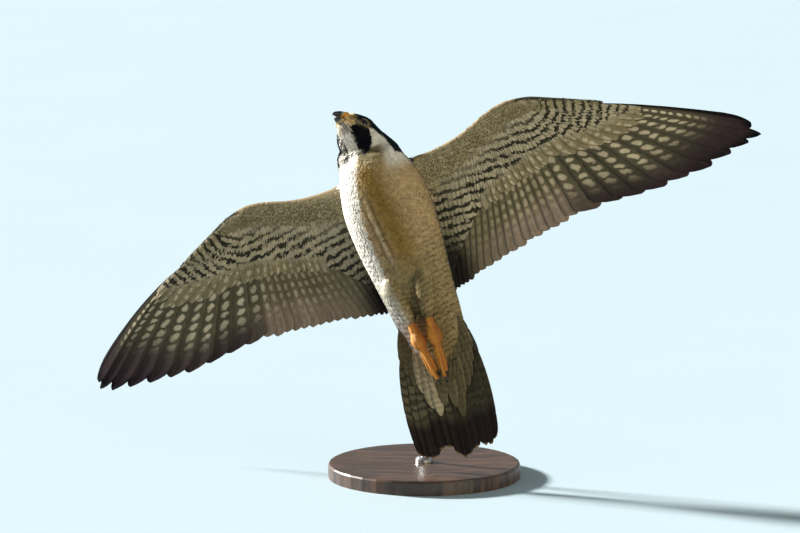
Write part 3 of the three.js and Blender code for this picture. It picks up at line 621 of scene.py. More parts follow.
def skin_parts():
    """Closed tubes inside the plumage: body, wings and thighs."""
    depths = [COAT_DEPTH[part] for part in ("head", "head", "neck", "body")]
    depth = np.interp(REGIONS, [0, 0.8, 1.5, 2.2], depths)
    yield tube_grid(BODY - grid_normals(BODY) * depth[:, None, None])
    angle = circle(CORE_SIDES)
    chord = (1 - np.cos(angle)) / 2 * (1 - 2 * CHORD_MARGIN) + CHORD_MARGIN
    face = np.where(np.abs(np.sin(angle)) < 1e-9, 0, np.sign(np.sin(angle)))
    rows = in_order(CORE, np.linspace(0, len(CORE) - 1, CORE_STEPS))[:, None]
    for wing in WINGS.values():
        yield tube_grid(core_points(wing, rows, chord[None], face[None], COAT_DEPTH["wing"]))
    for leg in LEGS.values():
        yield tube_grid(limb_rings(THIGH, LEG_SIDES, leg, -COAT_DEPTH["thigh"], 4))


def make_skin():
    """One skin over body, wings and thighs, without a seam."""
    skin = mesh_object("skin", *joined(skin_parts()))
    remesh = skin.modifiers.new("join", "REMESH")
    remesh.mode = "VOXEL"
    remesh.voxel_size = SKIN_VOXEL * MM
    remesh.use_smooth_shade = True
    smooth = skin.modifiers.new("soften", "SMOOTH")
    smooth.factor = 0.5
    smooth.iterations = 8
    graph = bpy.context.evaluated_depsgraph_get()
    solid = bpy.data.meshes.new_from_object(skin.evaluated_get(graph))
    skin.modifiers.clear()
    skin.data = solid
    unwrap(skin)
    return skin


def unwrap(obj):
    bpy.ops.object.select_all(action="DESELECT")
    obj.select_set(True)
    bpy.context.view_layer.objects.active = obj
    bpy.ops.object.mode_set(mode="EDIT")
    bpy.ops.mesh.select_all(action="SELECT")
    bpy.ops.uv.smart_project(angle_limit=math.radians(66), island_margin=0.001)
    bpy.ops.object.mode_set(mode="OBJECT")
    obj.data.uv_layers[0].name = "OFBake"


class SkinMap:
    """Finds the nearest place on the skin, in the bird's frame, and its place on the unwrap."""

    def __init__(self, skin):
        mesh = skin.data
        self.points = in_bird(read(mesh.vertices, "co"))
        faces = [tuple(polygon.vertices) for polygon in mesh.polygons]
        self.tree = BVHTree.FromPolygons(self.points.tolist(), faces)
        uv = read(mesh.uv_layers["OFBake"].data, "uv", 2)
        starts = read(mesh.polygons, "loop_start", 1, np.int32)[:, 0]
        self.face_uv = np.add.reduceat(uv, starts, axis=0)
        self.face_uv /= read(mesh.polygons, "loop_total", 1, np.int32)

    def nearest(self, points):
        """Places, normals, face numbers and gaps of the skin nearest to these points."""
        found = zip(*(self.tree.find_nearest(point) for point in points.tolist()))
        return tuple(np.array(values) for values in found)


# Small feathers that lie along the skin

STATIONS = np.array([0.0, 0.22, 0.45, 0.66, 0.84, 1.0])
STATION_WIDTH = np.array([0.38, 0.8, 1.0, 0.97, 0.74, 0.3])
COLUMNS = np.array([-1.0, -0.55, 0.0, 0.55, 1.0])
TIP_ROUNDING, TIP_SPLIT = 0.14, 0.14
PATCH_HALF = 0.0015


def plumes(name, skin_map, roots, lies, length, width, lift, rise, random, crown=0.012, swell=None):
    """Feathers on the skin. Returns the object and, for each of its points, its feather and place."""
    count = len(roots)
    place0, normal0, face, _ = skin_map.nearest(roots)
    heading0 = unit(lies - (lies * normal0).sum(1, keepdims=True) * normal0)
    place1, normal1, _, _ = skin_map.nearest(place0 + heading0 * length[:, None] / 2)
    heading1 = unit(place1 - place0)
    heading1 = unit(heading1 - (heading1 * normal1).sum(1, keepdims=True) * normal1)
    place2, normal2, _, _ = skin_map.nearest(place1 + heading1 * length[:, None] / 2)
    split = random.uniform(0, 1, (count, 1, len(COLUMNS))) ** 3 * TIP_SPLIT
    rounding = TIP_ROUNDING * np.abs(COLUMNS)[None, None] ** 2.2
    s = STATIONS[None, :, None] * (1 - rounding - split)
    weights = [2 * (s - 0.5) * (s - 1), 4 * s * (1 - s), 2 * s * (s - 0.5)]

    def blend(*ends):
        return sum(end[:, None, None] * weight[..., None] for end, weight in zip(ends, weights))

    centre, normal = blend(place0, place1, place2), unit(blend(normal0, normal1, normal2))
    tangent = unit(np.gradient(centre, axis=1))
    side = unit(np.cross(tangent, normal))
    half = (width[:, None, None] / 2) * STATION_WIDTH[None, :, None] * COLUMNS[None, None]
    height = lift[:, None, None] + rise[:, None, None] * s - crown * half ** 2
    if swell:
        height = height + swell(centre, s)
    points = (centre + side * half[..., None] + normal * height[..., None]).reshape(-1, 3)
    per = len(STATIONS) * len(COLUMNS)
    quads = grid_faces(len(STATIONS), len(COLUMNS))
    quads = (np.arange(count)[:, None, None] * per + quads[None]).reshape(-1, 4)
    obj = mesh_object(name, points, quads)
    which = np.repeat(np.arange(count), per)
    across = np.broadcast_to(COLUMNS[None, None], s.shape).ravel()
    lengthways = np.broadcast_to(STATIONS[None, :, None], s.shape).ravel()
    chance = random.uniform(0, 1, count)[which]
    paint(obj, "Lay", np.stack([across, lengthways, chance], 1), "FLOAT_VECTOR")
    paint(obj, "Run", lengthways * length[which], "FLOAT")
    patch = np.stack([across, lengthways * 2 - 1], 1) * PATCH_HALF
    bake_map(obj, (skin_map.face_uv[face][which] + patch)[quads.ravel()])
    return obj, which, points


def paint_feathers(obj, ground, mark, phase, pattern):
    """Colours of each point, its place among the bars, and the strengths that patterned gives."""
    for name, values, kind in (("Ground", ground, "FLOAT_COLOR"), ("Mark", mark, "FLOAT_COLOR"),
                               ("Phase", phase, "FLOAT"), ("Pattern", pattern, "FLOAT_COLOR")):
        paint(obj, name, values, kind)


def patterned(points, bars=0.0, spots=0.0, ovals=0.0, shaft=0.0):
    """How strong bars, spot, ovals and shaft are at each of these points."""
    return np.stack([np.broadcast_to(value, len(points)) for value in (bars, spots, ovals, shaft)], 1)


# Long feathers of wings and tail

BLADE_ROWS = 40
BLADE_COLUMNS = np.array([-1.0, -0.8, -0.55, -0.28, -0.06, 0.06, 0.45, 1.0])
RAGGED, NOTCH_CHANCE, NOTCH_DEPTH = 0.04, 0.06, 3
SHAFT_WIDTH, SHAFT_HEIGHT, CAMBER = 0.12, 0.55, 0.2
PATCH_MARGIN_U, PATCH_MARGIN_V = 0.08, 0.04


def width_profile(t, point, sharp):
    """Width of a long feather: narrow at the root, then full, then a rounded or sharp tip."""
    base = 0.28 + 0.72 * smoothstep(t, 0.02, 0.3)
    end = ((t - (1 - point)) / point).clip(0, 1)
    rounded = np.clip(1 - end ** 2.4, 0, 1) ** 0.62
    keen = np.clip(1 - end ** 1.5, 0, 1)
    return base * np.maximum(rounded * (1 - sharp) + keen * sharp, 0.03)


def blade(place, inner, outer, rows, point, sharp, thickness, random):
    """One long feather: two faces that join at their edges. place(side, t, lift) gives its points."""
    t = 1 - (1 - np.linspace(0, 1, rows)) ** 1.25
    width = width_profile(t, point, sharp)[:, None]
    out = np.abs(BLADE_COLUMNS)[None]
    reach = np.where(BLADE_COLUMNS < 0, inner, outer)[None]
    torn = random.uniform(0, 1, (rows, 1)) < NOTCH_CHANCE
    notch = np.where(torn, RAGGED * NOTCH_DEPTH, RAGGED * random.uniform(0, 1, (rows, 1)))
    side = BLADE_COLUMNS[None] * reach * width * (1 - notch * (out > 0.9))
    t_grid = np.broadcast_to(t[:, None], side.shape)
    half = thickness * (0.35 + 0.65 * (1 - out ** 2)) / 2
    half = half + np.exp(-((out / SHAFT_WIDTH) ** 2)) * SHAFT_HEIGHT * (1 - t_grid) ** 0.8
    faces = [place(side, t_grid, lift - CAMBER * out ** 2).reshape(-1, 3) for lift in (half, -half)]
    columns, below = len(BLADE_COLUMNS), rows * len(BLADE_COLUMNS)
    upper = grid_faces(rows, columns)
    quads = [upper, upper[:, ::-1] + below]
    lengthways, sideways = np.arange(rows - 1) * columns, np.arange(columns - 1)
    for start, step, turned in ((lengthways, columns, False), (lengthways + columns - 1, columns, True),
                                (sideways, 1, True), (sideways + (rows - 1) * columns, 1, False)):
        rim = np.stack([start, start + step, start + step + below, start + below], 1)
        quads.append(rim[:, ::-1] if turned else rim)
    across = np.broadcast_to(BLADE_COLUMNS[None], side.shape).ravel()
    above = np.repeat([1.0, 0.0], below)
    return np.concatenate(faces), np.concatenate(quads), np.tile(across, 2), np.tile(t_grid.ravel(), 2), above


class Blades:
    """Gathers many long feathers into one object, each with its own two patches of the bake map."""

    def __init__(self, name, seed):
        self.name = name
        self.random = np.random.default_rng(seed)
        self.items, self.colours, self.lengths = [], [], []

    def add(self, place, inner, outer, colours, length, point, rows=BLADE_ROWS, sharp=0.0, thickness=0.35):
        self.items.append(blade(place, inner, outer, rows, point, sharp, thickness, self.random))
        self.colours.append(colours)
        self.lengths.append(length)

    def build(self):
        points, quads = joined(item[:2] for item in self.items)
        across, lengthways, above = (np.concatenate([item[i] for item in self.items]) for i in (2, 3, 4))
        which = np.repeat(np.arange(len(self.items)), [len(item[0]) for item in self.items])
        obj = mesh_object(self.name, points, quads)
        chance = self.random.uniform(0, 1, len(self.items))[which]
        paint(obj, "Lay", np.stack([across, lengthways, chance], 1), "FLOAT_VECTOR")
        paint(obj, "Run", lengthways * np.array(self.lengths)[which], "FLOAT")
        self.paint(obj, which, across, lengthways, above)
        cells = math.ceil(math.sqrt(2 * len(self.items)))
        slot = 2 * which + above.astype(int)
        u = (slot % cells + 0.5 + across * (0.5 - PATCH_MARGIN_U)) / cells
        v = (slot // cells + PATCH_MARGIN_V + lengthways * (1 - 2 * PATCH_MARGIN_V)) / cells
        bake_map(obj, np.stack([u, v], 1)[quads.ravel()])
        return obj

    def paint(self, obj, which, across, lengthways, above):
        layers = [np.empty((len(which), 3)), np.empty((len(which), 3)), np.empty(len(which)),
                  np.empty((len(which), 4))]
        for index, colours in enumerate(self.colours):
            pick = which == index
            for layer, values in zip(layers, colours(across[pick], lengthways[pick], above[pick])):
                layer[pick] = values
        paint_feathers(obj, *layers)


OVAL_SPACING = [[-16, 11], [0, 12], [6, 13.5], [7, 13.2], [8, 11.8], [9, 11], [10, 9.6]]


def flight_colours(wing, number, length):
    """Primaries and secondaries: pale ovals on the inner vane below, slate above, dark at the tip."""
    primary, outer = float(smoothstep(number, -1, 2)), float(smoothstep(number, 4, 9))
    inner = float(smoothstep(-number, 6, 11))
    dark_from = 0.87 - 0.13 * outer

    def colours(across, t, top):
        armpit = armpit_shade(*shaft_points(wing, number + across, t))
        streaks = 0.5 + 0.5 * np.sin(9 * across + 2.3 * number)
        pinkish = (1 - primary) * smoothstep(t, 0.62, 0.84) * (1 - 0.7 * inner)
        under = mix(UNDER_GREY, OLIVE, 0.3 * (1 - primary))
        under = mix(under, TIP_DARK, smoothstep(t, dark_from - 0.2, dark_from + 0.16) * primary)
        under = mix(under, BLACKISH, outer * smoothstep(t, 0.9, 0.98))
        under = mix(under, PINKISH_GREY, pinkish * (0.45 + 0.5 * streaks))
        # Painted shade of the body over the wing's corner beside the rump
        under = mix(under, BLACKISH, 0.93 * armpit)
        if number == OUTERMOST:
            under = mix(under, BLACKISH, 0.9 * smoothstep(across, -0.1, 0.3))
        over = mix(SLATE, BLACKISH, 0.35 + 0.5 * primary * smoothstep(t, 0.1, 0.9))
        above = top > 0.5
        ground = np.where(above[:, None], over, under)
        mark = np.where(above[:, None], mix(over, SLATE_DARK * 0.6, 0.5), OVAL[None])
        fade = (1 - smoothstep(t, dark_from - 0.18, dark_from + 0.04)) * (1 - armpit)
        ovals = fade * (0.5 + 0.4 * primary - 0.35 * inner)
        pattern = patterned(t, bars=np.where(above, 0.25, 0), ovals=np.where(above, 0, ovals), shaft=1)
        return ground, mark, t * length / read_off(number, OVAL_SPACING), pattern
    return colours


BAR_SPACING = 10.6
FOREARM = np.array([[0, 111], [193, 98]])
BARS_START = [
    [60, 78], [92, 80], [112, 68], [134, 52], [155, 40], [175, 31], [200, 27], [270, 25],
]
FADE_IN = 30


def armpit_shade(u, v):
    """The near-black corner of the wing beside the rump: darker inner feathers under painted shade of the
    body.
    """
    return smoothstep(-v - 0.6 * (u - 60), 4, 52) * (1 - smoothstep(u, 58, 92))


def to_segment(x, y, start, end):
    """Distance of places in a plan from a straight line between two others."""
    (ax, ay), (bx, by) = start, end
    share = np.clip(((x - ax) * (bx - ax) + (y - ay) * (by - ay)) / ((bx - ax) ** 2 + (by - ay) ** 2), 0, 1)
    return np.hypot(x - ax - share * (bx - ax), y - ay - share * (by - ay))


def bars_at(u, v):
    """How strongly places of the wing are barred, and their place among the bars, which run along
    the forearm and fan out over the hand."""
    behind = to_segment(u, v, *FOREARM)
    return smoothstep(behind - read_off(u, BARS_START), -FADE_IN, 4), behind / BAR_SPACING


def covert_colours(wing, number, start, end, top_level):
    """Bars that run on from one covert to the next, as each counts from the forearm."""
    def colours(across, t, top):
        u, v = shaft_points(wing, number + 0.8 * across, start + (end - start) * t)
        barred, phase = bars_at(u, v)
        if top_level:
            ground = mix(SLATE, SLATE_DARK, 0.25 + 0.3 * smoothstep(t, 0.2, 1))
            mark, strength, shown = SLATE_DARK * 0.7, 0.4, 0
        else:
            ground = mix(mix(TAN, CREAM, 0.35), OLIVE, 0.2 + 0.35 * smoothstep(np.abs(across), 0.5, 1))
            # Painted shade: darker towards the body, which shadows the wing there
            ground = mix(ground, OLIVE * 0.6, 0.5 * (1 - smoothstep(u, 60, 110)))
            ground = mix(ground, BLACKISH, 0.93 * armpit_shade(u, v))
            ovals = smoothstep(start + (end - start) * t, 0.27, 0.36) * smoothstep(u, 96, 124)
            ground = mix(ground, OLIVE * 0.8, 0.75 * ovals)
            mark = mix(DARK_BAR, OVAL, smoothstep(ovals, 0.4, 0.6))
            strength = 0.96 * (1 - smoothstep(ovals, 0.2, 0.5))
            shown = 0.8 * smoothstep(ovals, 0.5, 0.8)
        pattern = patterned(t, strength * (0.25 + 0.75 * barred), 0.7 * (1 - barred), shown, 0.25)
        return ground, mark, phase, pattern
    return colours


# Rows of coverts: tip and root place along the flight feather, level, slope between neighbours,
# spacing between feathers, sideways start
UNDER_TIERS = [
    (0.47, 0.10, -2.0, 0.85, 1.0, 0.0), (0.37, 0.05, -2.8, 0.7, 1.0, 0.5),
    (0.27, -0.02, -3.5, 0.6, 1.0, 0.0), (0.18, -0.08, -4.2, 0.6, 0.5, 0.25),
    (0.11, -0.13, -4.9, 0.6, 0.5, 0.0),
]
OVER_TIERS = [
    (0.42, 0.05, 2.0, 0.85, 1.0, 0.0), (0.3, 0.0, 3.0, 0.7, 0.5, 0.25),
    (0.2, -0.05, 3.9, 0.6, 0.5, 0.0), (0.12, -0.1, 4.7, 0.6, 0.5, 0.25),
]
FLIGHT_STEP = 0.95
FLIGHT_INNER_VANE, FLIGHT_OUTER_VANE, OUTERMOST_OUTER_VANE = 1.12, 0.42, 0.62


def wing_place(wing, number, start, end, level, step, settle=0.0):
    """The place function of a wing feather that runs along the flight feather of this number."""
    def place(side, t, lift):
        u, v = shaft_points(wing, number + side, start + (end - start) * t)
        return wing_points(wing, u, v, level * (1 - settle * t) + step * side + lift)
    return place


def make_flight_feathers(key):
    wing = WINGS[key]
    random = np.random.default_rng(SEED + wing["sign"])
    flight = Blades(f"flight_feathers_{key}", SEED + 3 * wing["sign"])
    for number in range(INNERMOST - 1, OUTERMOST + 1):
        length = float(shaft_length(number))
        end = 1 + 0.012 * random.uniform(-1, 1)
        shift = 0 if number in (0, 1) else 0.05 * random.uniform(-1, 1)
        ahead = FLIGHT_OUTER_VANE if number < OUTERMOST else OUTERMOST_OUTER_VANE
        place = wing_place(wing, number + shift, -3 / length, end, 0, FLIGHT_STEP)
        flight.add(place, FLIGHT_INNER_VANE, ahead, flight_colours(wing, number, length), length,
                   0.07 + 0.08 * float(smoothstep(number, 2, 9)), sharp=0.1)
    return flight.build()


def make_wing_coverts(key):
    """Rows of coverts below and above. Those of the outer hand are shorter and narrower ahead."""
    wing = WINGS[key]
    random = np.random.default_rng(SEED + 30 + wing["sign"])
    coverts = Blades(f"wing_coverts_{key}", SEED + 5 * wing["sign"])
    for tier in UNDER_TIERS + OVER_TIERS:
        tier_tip, root, level, step, every, aside = tier
        reach = 0.95 if every == 1 else 0.6
        for number in np.arange(INNERMOST, OUTERMOST + 0.2 - aside, every) + aside:
            jitter = random.uniform(-1, 1, 3)
            tip = tier_tip * (1 + 0.05 * jitter[0]) * (1 - 0.25 * float(smoothstep(number, 6, 10)))
            place = wing_place(wing, number + 0.08 * jitter[1], root, tip, level, step, 0.3)
            ahead = reach * (0.5 - 0.25 * float(smoothstep(number, 8, 10)))
            colours = covert_colours(wing, number, root, tip, level > 0)
            length = (tip - root) * float(shaft_length(number))
            coverts.add(place, reach, ahead, colours, length, 0.3, rows=14, thickness=0.2)
    return coverts.build()


ARMPIT_NUMBERS = np.arange(-17.4, -12.5, 0.55)
ARMPIT_LENGTH, ARMPIT_WIDTH, ARMPIT_LEVEL, ARMPIT_STEP = 130, 0.75, -4.4, 0.12


def make_armpit(key):
    """Long feathers that close the gap between the wing and the body's side, dark with painted shade of the
    body.
    """
    wing = WINGS[key]
    blades = Blades(f"armpit_feathers_{key}", SEED + 9 * wing["sign"])
    for order, number in enumerate(ARMPIT_NUMBERS):
        tip = 0.93 - 0.045 * order
        place = wing_place(wing, number, 0.0, tip, ARMPIT_LEVEL + ARMPIT_STEP * order, 0.5, 0.35)
        colours = covert_colours(wing, number, 0.0, tip, False)
        blades.add(place, ARMPIT_WIDTH, ARMPIT_WIDTH, colours, ARMPIT_LENGTH * tip, 0.25, rows=24, sharp=0.2)
    return blades.build()


ALULA_START, ALULA_LENGTHS, ALULA_WIDTH = 189, [50, 41, 31], 8.5
ALULA_AHEAD, ALULA_BEHIND, ALULA_LIFT, ALULA_STEP = -0.8, 2.4, 4.6, 0.95
ALULA_ROOT_STEP, ALULA_FALL = 3, 0.38


def alula_place(wing, order):
    """The place function of an alula feather, which lies along the front edge of the hand."""
    front = np.array(CORE)[7:, :2]

    def place(side, t, lift):
        u = ALULA_START + ALULA_ROOT_STEP * order + ALULA_LENGTHS[order] * t
        offset = ALULA_AHEAD - ALULA_BEHIND * order + side
        level = ALULA_LIFT - ALULA_FALL * offset + ALULA_STEP * order + lift
        return wing_points(wing, u, along(front, u)[..., 0] + offset, level)
    return place


def alula_colours(across, t, top):
    ground = mix(SLATE_DARK, BLACKISH, 0.4 + 0.5 * t)
    return ground, ground * 0.6, t * 6, patterned(t, bars=0.2, shaft=1)


def make_alula(key):
    """The thumb's three short feathers, the longest in front."""
    wing = WINGS[key]
    blades = Blades(f"alula_feathers_{key}", SEED + 7 * wing["sign"])
    for order, length in enumerate(ALULA_LENGTHS):
        blades.add(alula_place(wing, order), ALULA_WIDTH, 0.3, alula_colours, length, 0.22, sharp=0.3)
    return blades.build()


TAIL_SPACING, TAIL_COVERT_SPACING = 11.5, 7.5
TAIL_LENGTH = 158
PALE_COVERTS = (-3.4, -1)


def tail_colours(number):
    """Tail feathers: barred, with a dark end and a thin pale rim."""
    length = float(along(TAIL_TIPS, number)[1])
    # Painted shade: feathers of the left half, away from the sun, at half brightness
    below = TAIL_GREY * (0.5 if number > 0 else 1)

    def colours(across, t, top):
        above = top[:, None] > 0.5
        under = mix(below, TIP_DARK * 0.35, 0.93 * smoothstep(t, 0.62, 0.78))
        over = mix(SLATE, BLACKISH, 0.95 * smoothstep(t, 0.55, 0.8))
        ground = mix(np.where(above, over, under), BUFF, 0.6 * smoothstep(t, 0.98, 0.995))
        mark = mix(ground, np.where(above, BLACKISH, TAIL_BAR), 0.85)
        pattern = patterned(t, bars=0.9 * (1 - smoothstep(t, 0.66, 0.76)), shaft=1)
        return ground, mark, t * length / TAIL_SPACING, pattern
    return colours


def tail_place(number, start, end, level):
    """The place function of a feather that lies along the tail at this number."""
    side_sign = 1 if number > 0 else -1

    def place(side, t, lift):
        s = start + (end - start) * t
        at = number + side_sign * side
        tip = along(TAIL_TIPS, at)
        bow = TAIL_BOW * at / TAIL_PAIRS * 4 * s * (1 - s)
        lateral = TAIL_ROOT_SPREAD * at * (1 - s) + tip[..., 0] * s + bow
        back = TAIL_ROOT_DEPTH + (tip[..., 1] - TAIL_ROOT_DEPTH) * s
        return tail_points(lateral, back, level - TAIL_STEP * side + lift)
    return place


def tail_covert_colours(number, start, end, top_level):
    def colours(across, t, top):
        if top_level:
            ground, mark, strength = mix(SLATE, SLATE_DARK, 0.3), SLATE_DARK * 0.6, 0.5
        else:
            # Only the coverts in PALE_COVERTS stay pale; the darker ones over the left half, away from the
            # sun, carry painted shade
            pale = PALE_COVERTS[0] < number < PALE_COVERTS[1]
            ground = mix(TAN, OLIVE, 0.25) if pale else mix(OLIVE, UNDER_GREY, 0.75) * 0.8
            ground = mix(ground, OLIVE * 0.8, 0.1 + 0.3 * smoothstep(np.abs(across), 0.4, 1))
            mark, strength = SPOT_DARK, 0.3
        phase = (start + (end - start) * t) * TAIL_LENGTH / TAIL_COVERT_SPACING
        return ground, mark, phase, patterned(t, bars=strength, shaft=0.4)
    return colours


# Rows of tail coverts: level, above 0 for the upper side, longest tip and length as shares of the
# tail, how much shorter per place outwards
TAIL_TIERS = [
    (-2.4, 0.68, 0.42, 0.125), (-3.1, 0.54, 0.40, 0.1), (-3.8, 0.4, 0.38, 0.06),
    (-4.6, 0.28, 0.36, 0.035), (2.6, 0.38, 0.36, 0.02), (3.6, 0.28, 0.36, 0.02),
]
COVERT_PEAK = 1.5
# Feathers that are a little shorter than the tail's outline, by number
TAIL_SHORTER = {-2.5: 0.95, -1.5: 0.96, 3.5: 0.985}


def make_tail():
    """Tail feathers and the coverts over their roots, below and above."""
    random = np.random.default_rng(SEED + 20)
    tail = Blades("tail_feathers", SEED + 21)
    for number, _, length in TAIL_TIPS:
        inner = 1.4 if number == 0.5 else min(0.9, abs(number) - 0.02)
        end = TAIL_SHORTER.get(number, 1) + 0.003 * random.uniform(-1, 1)
        tail.add(tail_place(number, 0, end, 0), inner, 0.45, tail_colours(number), length, 0.07)
    coverts = Blades("tail_coverts", SEED + 22)
    for level, longest, length, fall in TAIL_TIERS:
        for number in np.arange(-5.25, 5.5, 0.75):
            jitter = random.uniform(-1, 1, 2)
            tip = (longest - fall * abs(abs(number) - COVERT_PEAK)) * (1 + 0.05 * jitter[0])
            place = tail_place(number + 0.15 * jitter[1], tip - length, tip, level)
            colours = tail_covert_colours(number, tip - length, tip, level > 0)
            coverts.add(place, 0.75, 0.75, colours, length * TAIL_LENGTH, 0.4, rows=18, sharp=0.15,
                        thickness=0.2)
    return tail.build(), coverts.build()


# Markings of the body, in the bird's frame

# Outlines of the moustaches on the sides of the head, forward and up. The right one's neck
# feathers are drawn down by the turn of the head.
MOUSTACHE_FRONT = [[12.5, -4.5], [15.5, -9]]
MOUSTACHE_LOW = {
    "l": [[15, -11.5], [10.9, -14.6], [5.4, -17.6], [-1.2, -20], [-7, -22], [-14.1, -24.2], [-19.4, -29],
          [-18.8, -21.9], [-15.8, -14.4]],
    "r": [[15, -13], [12, -16.5], [9.2, -18.2], [3.8, -21], [-2.1, -23.2], [-8.4, -25.5], [-12.5, -29],
          [-14.6, -34], [-16.5, -41], [-23, -39], [-20.5, -28], [-16, -15]],
}
MOUSTACHE_TOP = [[-9.6, -6.1], [-4.2, -1], [0, 0.5], [4.5, -0.6]]


def outline_depth(x, y, outline):
    """Distance inside a closed outline, below zero outside it."""
    depth, inside = np.full(len(x), 1e9), np.zeros(len(x), bool)
    for start, end in zip(outline, outline[1:] + outline[:1]):
        depth = np.minimum(depth, to_segment(x, y, start, end))
        (ax, ay), (bx, by) = start, end
        crosses = (ay > y) != (by > y)
        inside ^= crosses & (x < (bx - ax) * (y - ay) / (by - ay if by != ay else 1e-9) + ax)
    return np.where(inside, depth, -depth)


def moustache(local):
    """1 on the dark moustaches, for points in the head's frame."""
    left, right = (outline_depth(local[:, 2], local[:, 1], MOUSTACHE_FRONT + low + MOUSTACHE_TOP)
                   for low in (MOUSTACHE_LOW["l"], MOUSTACHE_LOW["r"]))
    inside = np.where(local[:, 0] < 0, right, left)
    return smoothstep(inside, -0.9, 0.9) * smoothstep(np.abs(local[:, 0]), 5.5, 8.5)


# Lower edge of the dark cap by place forward, and front edge of the nape's band by height
CAP_EDGE = [[-24, 2], [-12, 5], [-4, 3.5], [2, 2], [10, 1], [19, 0.5], [24, 3]]
NAPE_EDGE = [
    [76, 3], [92, 0], [95, -12], [97.5, -20.5], [102, -20.5], [108, -16], [115.6, -9.5],
    [122.6, -7], [128.8, -8.2], [137, -11],
]


def hood(points, local):
    """The dark cap of the head and the band down the back of the neck."""
    cap = smoothstep(local[:, 1] - read_off(local[:, 2], CAP_EDGE), -1, 1)
    nape = smoothstep(points[:, 1] - read_off(points[:, 2], NAPE_EDGE), -1, 1)
    nape = nape * (1 - smoothstep(local[:, 2], -14, -6))
    return np.maximum(cap * between(local[:, 2], -26, -18, 18.2, 20), nape)


def head_colours(points, ground):
    """Painted shade in streaks under the chin, peach before the bill, hood, moustaches and dark skin round
    the eye.
    """
    local = in_head(points)
    side, up, forward = local.T
    # Painted shade in brown streaks under the chin
    chin_shade = smoothstep(forward, 8, 14) * smoothstep(-up, 9.5, 11.5)
    chin_shade = chin_shade * (0.65 + 0.35 * np.sin(1.9 * side + 0.5 * forward))
    ground = mix(ground, CHIN_SHADE * 0.45, np.clip(chin_shade, 0, 1) * smoothstep(side, -12, -8))
    ground = mix(ground, PEACH, 0.85 * smoothstep(forward, 13.5, 17) * smoothstep(up, -11.5, -9.5))
    ground = mix(ground, mix(HOOD, BLACKISH, 0.3), hood(points, local))
    ground = mix(ground, BLACKISH, moustache(local))
    from_eye = np.hypot(up - EYE_PLACE[1], forward - EYE_PLACE[2])
    near_eye = np.abs(side) > 9
    lores = smoothstep(forward, 13.5, 17) * smoothstep(-np.abs(up - 1.5), -6.5, -4) * near_eye
    ground = mix(ground, LORES, 0.8 * lores)
    ground = mix(ground, LORES * 0.5, 0.5 * (from_eye < EYE_RING) * near_eye * (1 - lores))
    before = between(forward, 7, 9, 14.5, 16.5) * near_eye
    return mix(ground, LORES * 0.45, 0.85 * before * between(up, -7, -5, 2, 4))


# Down the breast by height: edge of the painted golden shade beside the bright right side in the sun, middle
# of the painted gold, which also holds the breast's buff wash, and crest of the fold along the breastbone,
# painted pale as a highlight
SHADE_EDGE = [[-120, -14], [-90, -17], [-40, -26], [20, -29], [60, -22], [95, -12], [112, -8]]
SHADE_GOLD_MIDDLE = [[-90, 8], [-40, 10], [20, 8], [60, 2], [95, -2]]
KEEL_CREST = [[-40, -8], [0, -11], [40, -13.5], [78, -15]]
KEEL_WIDTH = 1.5
# Distance beside the crest, and the heights between which it shows
KEEL_FOLD = (0, (-48, -20, 10, 64))
KEEL_FURROW = (4.6, (-30, -14, 50, 70))


FOLD_HEIGHT = 1.5
SHADE_GOLD_WIDTH = 19
BODY_BAR_SPACING = 6.4


def keel(points, beside, ends):
    """1 on the crest of the fold of feathers along the breastbone, or on the lines beside it."""
    off = np.abs(points[..., 0] - read_off(points[..., 2], KEEL_CREST)) - beside
    return np.exp(-(off / KEEL_WIDTH) ** 2) * between(points[..., 2], *ends) * (points[..., 1] < 0)


def plumage_swell(centre, share):
    """Extra height of the small feathers: the breast's fold, and hollows that they bridge."""
    middle = centre[:, :, 2]
    height = np.array([HOLLOW.ravel()[BODY_TREE.find(point)[1]] for point in middle.reshape(-1, 3)])
    height = height.reshape(centre.shape[:2])[:, :, None]
    return FOLD_HEIGHT * keel(centre, *KEEL_FOLD) + height * smoothstep(share, 0, 0.5)


